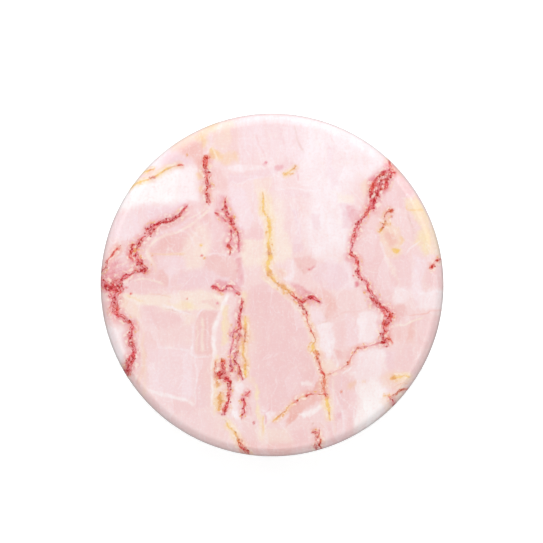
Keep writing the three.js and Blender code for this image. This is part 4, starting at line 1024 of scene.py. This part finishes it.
def face_mesh():
    """The printed skin. The flat is an even grid of squares bent into a disc, then come loops over
    the rim and down the side, and the inside skin. Returns the bmesh and each outer point's place
    on the flattened print, in mm."""
    radius, edge, top = box_mm("printed_film")
    flat = radius - RIM_ACROSS
    rim_low = top - RIM_DROP
    rings = round(flat / GRID_MM)
    bm = bmesh.new()
    spots = []

    def vertex(r, turn, z, flat_r):
        bm.verts.new((r * math.cos(turn) * MM, r * math.sin(turn) * MM, z * MM))
        spots.append((flat_r * math.cos(turn), flat_r * math.sin(turn)))

    index = {}
    for i in range(-rings, rings + 1):
        for j in range(-rings, rings + 1):
            ring = max(abs(i), abs(j))
            index[i, j] = len(spots)
            r = flat * ring / rings
            vertex(r, square_to_turn(i, j, ring), top, r)
    bm.verts.ensure_lookup_table()
    for i in range(-rings, rings):
        for j in range(-rings, rings):
            corners = [(i, j), (i + 1, j), (i + 1, j + 1), (i, j + 1)]
            bm.faces.new([bm.verts[index[c]] for c in corners])

    sides = 8 * rings
    border = [index[rings, j] for j in range(0, rings)]
    border += [index[i, rings] for i in range(rings, -rings, -1)]
    border += [index[-rings, j] for j in range(rings, -rings, -1)]
    border += [index[i, -rings] for i in range(-rings, rings)]
    border += [index[rings, j] for j in range(-rings, 0)]
    profile = arc(flat, rim_low, RIM_ACROSS, RIM_DROP, 90, 0, RIM_LOOPS)[1:]
    profile += [(radius, rim_low - (rim_low - edge) * k / SIDE_LOOPS) for k in range(1, SIDE_LOOPS + 1)]
    inner_across, inner_drop = RIM_ACROSS - FILM_THICKNESS, RIM_DROP - FILM_THICKNESS
    inner = [(radius - FILM_THICKNESS, edge)]
    inner += arc(flat, rim_low, inner_across, inner_drop, 0, 90, INNER_LOOPS)
    previous = border
    for r, z in profile + inner:
        first = len(spots)
        for k in range(sides):
            vertex(r, math.tau * k / sides, z, r + DROP_SHARE * (top - z))
        bm.verts.ensure_lookup_table()
        loop = list(range(first, first + sides))
        for k in range(sides):
            n = (k + 1) % sides
            bm.faces.new([bm.verts[v] for v in (previous[k], previous[n], loop[n], loop[k])])
        previous = loop
    centre = len(spots)
    vertex(0, 0, top - FILM_THICKNESS, 0)
    bm.verts.ensure_lookup_table()
    for k in range(sides):
        bm.faces.new([bm.verts[v] for v in (previous[k], previous[(k + 1) % sides], centre)])
    return bm, np.array(spots)


def ground_marble(n, colour, where):
    """Faint blocky crystals, cloudiness, long cracks, streaks and grain over the placed tints."""
    bend = n.noise(where, 0.35, detail=2).outputs[1]
    bent = n.shifted(where, n.vector_math("SCALE", bend, scale=1.4))
    tall = n.stretched(bent, (1.0, 0.4, 1.0))
    level = n.split(n.cells(tall, 0.8, distance="CHEBYCHEV").outputs["Color"])
    colour = n.tinge(colour, "snow", level[0], 0.6, 1.0, share=0.2)
    colour = n.tinge(colour, "coral", level[1], 0.6, 1.0, share=0.18)
    cloud = n.noise(where, 0.9, detail=6, roughness=0.65, distortion=0.5).outputs[0]
    colour = n.tinge(colour, "cream", cloud, 0.5, 0.8, share=0.3)
    haze = n.noise(n.shifted(where, (31.0, 7.0, 3.0)), 1.3, detail=6, roughness=0.65).outputs[0]
    colour = n.tinge(colour, "coral", haze, 0.5, 0.8, share=0.3)

    crack_place = n.stretched(n.shifted(where, (5.0, 50.0, 0.0)), (1.0, 0.55, 1.0))
    crack = n.noise(crack_place, 0.16, detail=4, roughness=0.5, distortion=0.8).outputs[0]
    crack_gap = n.math("ABSOLUTE", n.minus(crack, 0.5))
    colour = n.tinge(colour, "white", crack_gap, 0.008, 0.0, share=0.2)

    streak = n.noise(n.stretched(bent, (3.2, 0.7, 1.0)), 1.0, detail=4, roughness=0.7).outputs[0]
    colour = n.tinge(colour, "white", streak, 0.5, 0.72, share=0.12)
    colour = n.tinge(colour, "coral", streak, 0.5, 0.3, share=0.12)
    grain = n.noise(where, 3.4, detail=2, roughness=0.6).outputs[0]
    colour = n.tinge(colour, "white", grain, 0.52, 0.72, share=0.2)
    return n.tinge(colour, "coral", grain, 0.48, 0.28, share=0.2)


def marble_material():
    n = Nodes("marble_print")
    where = n.attribute("print_mm").outputs["Vector"]
    colour = ground_marble(n, n.attribute("tint").outputs["Color"], where)
    for k in range(VEIN_LAYERS):
        colour = Vein(n, where, k).over(colour)

    # the lacquer thins out low on the rim, and the print is darkened and then turned grey towards its
    # edge: painted shade where the rim turns away from the light
    out = n.vector_math("LENGTH", where)
    colour = n.mix(n.fade(out, 19.5, 20.3), colour, PAINTED_EDGE_SHADE, blend="MULTIPLY")
    colour = n.mix(n.fade(out, 19.95, 20.3, 0.0, 0.85), colour, PAINTED_EDGE_SHADE)
    lacquer = n.fade(out, 19.7, 20.3, 0.6, 0.0)
    n.bump(n.noise(where, 0.35, detail=1).outputs[0], 0.05, 0.0002)
    return n.finish(
        Base_Color=colour, Roughness=0.6, Specular_IOR_Level=0.0,
        Coat_Weight=lacquer, Coat_Roughness=0.06, Coat_IOR=1.45,
    )


class Vein:
    """One layer of veins, from the numbers that paint() leaves at each point."""

    def __init__(self, n, where, k):
        run = n.add("ShaderNodeSeparateXYZ")
        n.put(run.inputs[0], n.attribute(f"vein_{k}").outputs["Vector"])
        look = n.attribute(f"vein_ink_{k}")
        self.n = n
        self.layer = k
        self.along, self.amount = run.outputs[1], run.outputs[2]
        self.ink = look.outputs["Color"]
        width = look.outputs["Alpha"]
        self.here = n.shifted(where, (17.0 * k, 9.0 * k, 0.0))
        wobble = n.noise(self.here, 1.8, detail=4, roughness=0.65).outputs[0]
        sway = n.times(n.minus(wobble, 0.5), n.math("MULTIPLY_ADD", width, 1.6, 0.3))
        self.across = n.math("ADD", run.outputs[0], sway)
        self.gap = n.math("ABSOLUTE", self.across)
        swell = n.fade(n.noise(self.here, 1.1, detail=2).outputs[0], 0.3, 0.7, 0.7, 1.4)
        self.half = n.times(width, swell)
        self.soft_noise = n.noise(self.here, 1.0, detail=4, roughness=0.6).outputs[0]
        self.torn = n.noise(self.here, 2.0, detail=4, roughness=0.6)
        self.hue = n.split(self.torn.outputs[1])

    def over(self, colour):
        colour = self.glow(colour)
        colour = self.fringe(colour)
        colour = self.body(colour)
        colour = self.core(colour)
        return self.specks(colour)

    def glow(self, colour):
        """Rosy on both sides."""
        n = self.n
        glow = n.fade(self.gap, n.math("MULTIPLY_ADD", self.half, 2.4, 0.45), n.times(self.half, 0.5))
        glow = n.times(glow, n.fade(self.soft_noise, 0.35, 0.65, 0.2, 0.6))
        return n.mix(n.times(glow, self.amount), colour, n.mix(0.4, self.ink, INK["coral"]))

    def fringe(self, colour):
        """Ragged and pale, and golden in places."""
        n = self.n
        beside = n.fade(n.minus(self.gap, n.times(self.half, 0.9)), -0.05, 0.1)
        reach = n.math("MULTIPLY_ADD", self.half, 1.8, 0.22)
        fringe = n.times(beside, n.fade(n.minus(self.gap, reach), 0.14, -0.1))
        fringe = n.times(fringe, n.fade(self.torn.outputs[0], 0.45, 0.6, 0.0, 0.7))
        golden = n.mix(n.fade(self.hue[0], 0.5, 0.64), INK["gold"], INK["amber"])
        stretch = n.fade(n.noise(self.here, 0.3, detail=1).outputs[0], 0.42, 0.6)
        golden = n.mix(stretch, INK["cream"], golden)
        tone = n.mix(n.fade(self.hue[1], 0.46, 0.58), INK["cream"], golden)
        return n.mix(n.times(fringe, self.amount), colour, tone)

    def body(self, colour):
        """Fibres that run along the vein, some of them more orange. Golden veins are fuller."""
        n = self.n
        self.ink = n.tinge(self.ink, "orange", self.hue[2], 0.52, 0.62, share=0.55)
        flow = n.add("ShaderNodeCombineXYZ")
        n.put(flow.inputs[0], n.times(self.across, 4.5))
        n.put(flow.inputs[1], n.times(self.along, 1.3))
        flow.inputs[2].default_value = 5.0 * self.layer
        self.fibre = n.noise(flow.outputs[0], 1.0, detail=4, roughness=0.65, distortion=0.4).outputs[0]
        edge = n.times(self.half, n.fade(self.soft_noise, 0.3, 0.7, 0.7, 1.5))
        body = n.times(n.fade(n.minus(self.gap, edge), 0.1, -0.14), self.amount)
        self.redness = n.fade(n.split(self.ink)[1], 0.5, 0.1, 0.12, 1.0)
        weave = n.fade(self.fibre, 0.6, 0.42, 0.08, 0.82)
        weave = n.math("MAXIMUM", weave, n.minus(0.9, self.redness))
        return n.mix(n.times(body, weave), colour, self.ink)

    def core(self, colour):
        """Thin, broken and darker."""
        n = self.n
        present = n.fade(n.noise(self.here, 2.6, detail=3).outputs[0], 0.44, 0.54)
        drawn = n.fade(n.math("ABSOLUTE", n.minus(self.fibre, 0.45)), 0.06, 0.015)
        drawn = n.times(drawn, n.fade(self.gap, self.half, n.times(self.half, 0.6)))
        core = n.fade(n.minus(self.gap, n.times(self.half, 0.16)), 0.06, -0.04)
        core = n.times(n.math("MAXIMUM", core, drawn), self.amount)
        core = n.times(n.times(core, present), self.redness)
        self.dark = n.mix(0.5, self.ink, INK["darkest"])
        return n.mix(n.times(core, 0.94), colour, self.dark)

    def specks(self, colour):
        """A few dark and pale ones."""
        n = self.n
        speck = n.cells(self.here, 2.8)
        pick = n.split(speck.outputs["Color"])
        dot = n.fade(speck.outputs["Distance"], 0.42, 0.24)
        close = n.fade(n.minus(self.gap, n.math("MULTIPLY_ADD", self.half, 1.2, 0.05)), 0.1, -0.05)
        dot = n.times(n.times(dot, close), self.amount)
        few_dark = n.times(n.times(dot, n.fade(pick[0], 0.84, 0.86, 0.0, 0.9)), self.redness)
        few_pale = n.times(dot, n.fade(pick[1], 0.11, 0.07, 0.0, 0.45))
        colour = n.mix(few_dark, colour, self.dark)
        return n.mix(few_pale, colour, n.mix(0.85, self.ink, INK["cream"]))


def make_face():
    bm, spots = face_mesh()
    piece = finish_mesh("marble_face", bm, marble_material(), "top", "printed_film")
    mesh = piece.data
    colour, layers = paint(spots)

    def store(name, kind, values, field):
        values = np.ascontiguousarray(values, np.float32)
        mesh.attributes.new(name, kind, "POINT").data.foreach_set(field, values.ravel())

    zero = np.zeros(len(spots))
    store("print_mm", "FLOAT_VECTOR", np.column_stack([spots, zero]), "vector")
    store("tint", "FLOAT_COLOR", np.column_stack([colour, zero + 1]), "color")
    for k, layer in enumerate(layers):
        run = np.column_stack([layer["across"], layer["along"], layer["amount"]])
        store(f"vein_{k}", "FLOAT_VECTOR", run, "vector")
        store(f"vein_ink_{k}", "FLOAT_COLOR", np.column_stack([layer["ink"], layer["width"]]), "color")


# ---------------------------------------------------------------- the other pieces

def make_shell():
    radius, bottom, top = box_mm("top_shell")
    _, film_edge, film_top = box_mm("printed_film")
    skin = FILM_THICKNESS + SKIN_GAP
    step_z = film_edge - SKIN_GAP
    rim_low = film_top - RIM_DROP
    inner = radius - SHELL_RIM_WALL
    ceiling = top - SHELL_THICKNESS
    outline = rounded([
        (0, ceiling, NONE), (inner, ceiling, CORNER), (inner, bottom, ROUND), (radius, bottom, ROUND),
        (radius, step_z, CRISP), (radius - skin, step_z, NONE),
    ])
    outline += arc(radius - RIM_ACROSS, rim_low, RIM_ACROSS - skin, top - rim_low, 0, 90, steps=8)
    outline += [(0, top)]
    finish_mesh("shell", turned(outline), PLASTIC, "top", "top_shell")


def raised(outline, low, high, bevel):
    """A closed outline of (x, y), raised between two heights, with its upper and lower edges
    rounded. All in millimetres."""
    bm = bmesh.new()
    rings = [[bm.verts.new((x * MM, y * MM, z * MM)) for x, y in outline] for z in (low, high)]
    count = len(outline)
    for k in range(count):
        n = (k + 1) % count
        bm.faces.new((rings[0][k], rings[0][n], rings[1][n], rings[1][k]))
    caps = [bm.faces.new(rings[0][::-1]), bm.faces.new(rings[1])]
    rims = [edge for cap in caps for edge in cap.edges]
    bmesh.ops.bevel(
        bm, geom=rims, offset=bevel * MM, offset_type="OFFSET", segments=3, profile=0.5,
        affect="EDGES", clamp_overlap=True,
    )
    return bm


def plan_arc(radius, start, end, steps):
    """Points of an arc seen from above. Radians."""
    turns = [start + (end - start) * k / steps for k in range(steps + 1)]
    return [(radius * math.cos(turn), radius * math.sin(turn)) for turn in turns]


def make_carrier():
    """The plate with its lip, and below it the post and the T-shaped key."""
    radius, low, top = box_mm("top_carrier")
    under = top - CARRIER["thickness"]
    lip_low = under - CARRIER["lip_depth"]
    lip_r = radius - CARRIER["lip_width"]
    post_r = CARRIER["post_radius"]
    key_top = low + KEY["thickness"]
    post_low = key_top - KEY_OVERLAP
    corners = [
        (0, post_low, NONE), (post_r, post_low, NONE), (post_r, under, SOFT), (lip_r, under, EASED),
        (lip_r, lip_low, BLUNT), (radius, lip_low, BLUNT), (radius, top, FINE), (0, top, NONE),
    ]
    plate = turned(rounded(corners))
    finish_mesh("carrier", plate, MATTE_PLASTIC, "top", "top_carrier")
    half_turn = math.asin(KEY["half_width"] / KEY["half_length"])
    bar = []
    for end in (math.pi / 2, 3 * math.pi / 2):
        bar += plan_arc(KEY["half_length"], end - half_turn, end + half_turn, steps=24)
    key = raised(bar, low, key_top, KEY_EDGE)
    finish_mesh("carrier_key", key, MATTE_PLASTIC, "top")


def bellows_wall(name, node, corners, body):
    finish_mesh(name, turned(rounded(corners)), BELLOWS, body, node)


def make_bellows():
    mid_r, mid_low, mid_high = box_mm("bellows_middle_ring")
    mid_high_r = mid_r - WALL_LEAN
    bellows_wall("middle_ring", "bellows_middle_ring", [
        (mid_r - WALL_THICKNESS, mid_low, SOFT), (mid_r, mid_low, SOFT),
        (mid_high_r, mid_high, SOFT), (mid_high_r - WALL_THICKNESS, mid_high, SOFT),
    ], "middle")

    foot_flange_r, foot_low, foot_high = box_mm("bellows_foot")
    foot_r = mid_r + WALL_STEP
    foot_high_r = foot_r - WALL_LEAN
    flange_top = foot_low + FOOT_FLANGE_THICKNESS
    bellows_wall("foot", "bellows_foot", [
        (foot_r - WALL_THICKNESS, foot_low, FINE), (foot_flange_r, foot_low, FINE),
        (foot_flange_r, flange_top, FINE), (foot_r, flange_top, EASED),
        (foot_high_r, foot_high, SOFT), (foot_high_r - WALL_THICKNESS, foot_high, SOFT),
    ], "base")

    neck_flange_r, neck_low, neck_high = box_mm("bellows_neck")
    neck_r = mid_r - WALL_STEP
    neck_high_r = neck_r - WALL_LEAN
    flange_low = neck_high - NECK_FLANGE_THICKNESS
    seat_r = box_mm("lock_collar")[0] + COLLAR_SIDE_GAP
    seat_z = neck_high - COLLAR_FLANGE_THICKNESS - 2 * SEAT_GAP
    bellows_wall("neck", "bellows_neck", [
        (neck_r - WALL_THICKNESS, neck_low, SOFT), (neck_r, neck_low, SOFT),
        (neck_high_r, flange_low, CORNER), (neck_flange_r, flange_low, BLUNT),
        (neck_flange_r, neck_high, BLUNT), (seat_r, neck_high, CRISP),
        (seat_r, seat_z, CRISP), (neck_high_r - WALL_THICKNESS, seat_z, CRISP),
    ], "neck")

    fold("lower_fold", "bellows_lower_fold", foot_r, foot_high, mid_low)
    fold("upper_fold", "bellows_upper_fold", mid_r, mid_high, neck_low)


def fold(name, node, below_r, below_top, above_bottom):
    """The thin wall between two stiff ones. Its ends are tucked into them."""
    low_line, high_line = below_top + WALL_END_GAP, above_bottom - WALL_END_GAP
    low_r = below_r - WALL_LEAN - FOLD_INSET
    high_r = below_r - WALL_STEP - FOLD_INSET
    outer = [(low_r, low_line - FOLD_TUCK)]
    for k in range(FOLD_STEPS + 1):
        t = k / FOLD_STEPS
        outer.append((low_r + (high_r - low_r) * t, low_line + (high_line - low_line) * t))
    outer.append((high_r, high_line + FOLD_TUCK))
    inner = [(r - FOLD_THICKNESS, z) for r, z in reversed(outer)]
    piece = finish_mesh(name, turned(outer + inner), BELLOWS, None, node)
    # the bend starts inside the stiff walls, so that a closed fold stays between their ends
    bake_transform(piece)


def make_base():
    radius, low, rim_top = box_mm("base_plate")
    flange_r, foot_low, _ = box_mm("bellows_foot")
    bezel_r, bezel_low, _ = box_mm("base_bezel")
    floor = foot_low - SEAT_GAP
    seat_floor = foot_low + FOOT_FLANGE_THICKNESS + SEAT_GAP
    channel_r, seat_r = flange_r + SIDE_GAP, bezel_r + SIDE_GAP
    corners = [
        (0, RECESS["ceiling"], NONE), (RECESS["radius"], RECESS["ceiling"], FINE),
        (RECESS["radius"], low, EASED), (radius, low, ROUND), (radius, rim_top, BASE_EDGE),
        (seat_r, rim_top, TIGHT), (seat_r, seat_floor, CRISP), (channel_r, seat_floor, CRISP),
        (channel_r, floor, CRISP), (0, floor, NONE),
    ]
    plate = turned(rounded(corners, steps=6))
    finish_mesh("base", plate, BASE_PLASTIC, "base", "base_plate")
    for middle in (0, 180):
        start, end = (math.radians(middle + side * DOG["arc"] / 2) for side in (-1, 1))
        sector = plan_arc(DOG["inner"], start, end, steps=12)
        sector += plan_arc(DOG["outer"], end, start, steps=12)
        dog = raised(sector, floor - DOG_ROOT, floor + DOG["height"], FINE)
        finish_mesh(f"dog_{middle}", dog, BASE_PLASTIC, "base")
    ring = [
        (BEZEL_INNER, bezel_low, CRISP), (bezel_r, bezel_low, CRISP),
        (bezel_r, rim_top, FINE), (BEZEL_INNER, rim_top, BEZEL_EDGE),
    ]
    finish_mesh("bezel", turned(rounded(ring)), BASE_PLASTIC, "base", "base_bezel")


def make_gel():
    radius, low, high = box_mm("gel_pad")
    pad = [(0, low, NONE), (radius, low, SOFT), (radius, high, TIGHT), (0, high, NONE)]
    finish_mesh("gel", turned(rounded(pad)), GEL, "base", "gel_pad")


def finish_cad_nodes():
    for node, material in (("lock_collar", ACETAL), ("pad_film", FILM)):
        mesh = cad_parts[node].data
        mesh.materials.clear()
        mesh.materials.append(material)


PLASTIC = moulded("white_polycarbonate", linear(246, 242, 241), roughness=0.26, coat=0.3)
MATTE_PLASTIC = moulded("matte_white_plastic", linear(243, 240, 238), roughness=0.5, grain=0.5)
BASE_PLASTIC = moulded("base_polycarbonate", linear(238, 235, 234), roughness=0.32, coat=0.15)
BELLOWS = moulded("white_elastomer", linear(233, 229, 227), roughness=0.55, grain=0.4, scatter=0.15)
ACETAL = moulded("natural_acetal", linear(232, 228, 220), roughness=0.45, scatter=0.1)
FILM = moulded("pad_carrier_film", linear(220, 218, 215), roughness=0.35)
GEL = moulded("sticky_gel", linear(150, 148, 146), roughness=0.2, coat=0.6, scatter=0.2)

make_camera()
make_floor()
make_lights()
make_face()
make_shell()
make_carrier()
make_bellows()
make_base()
make_gel()
finish_cad_nodes()
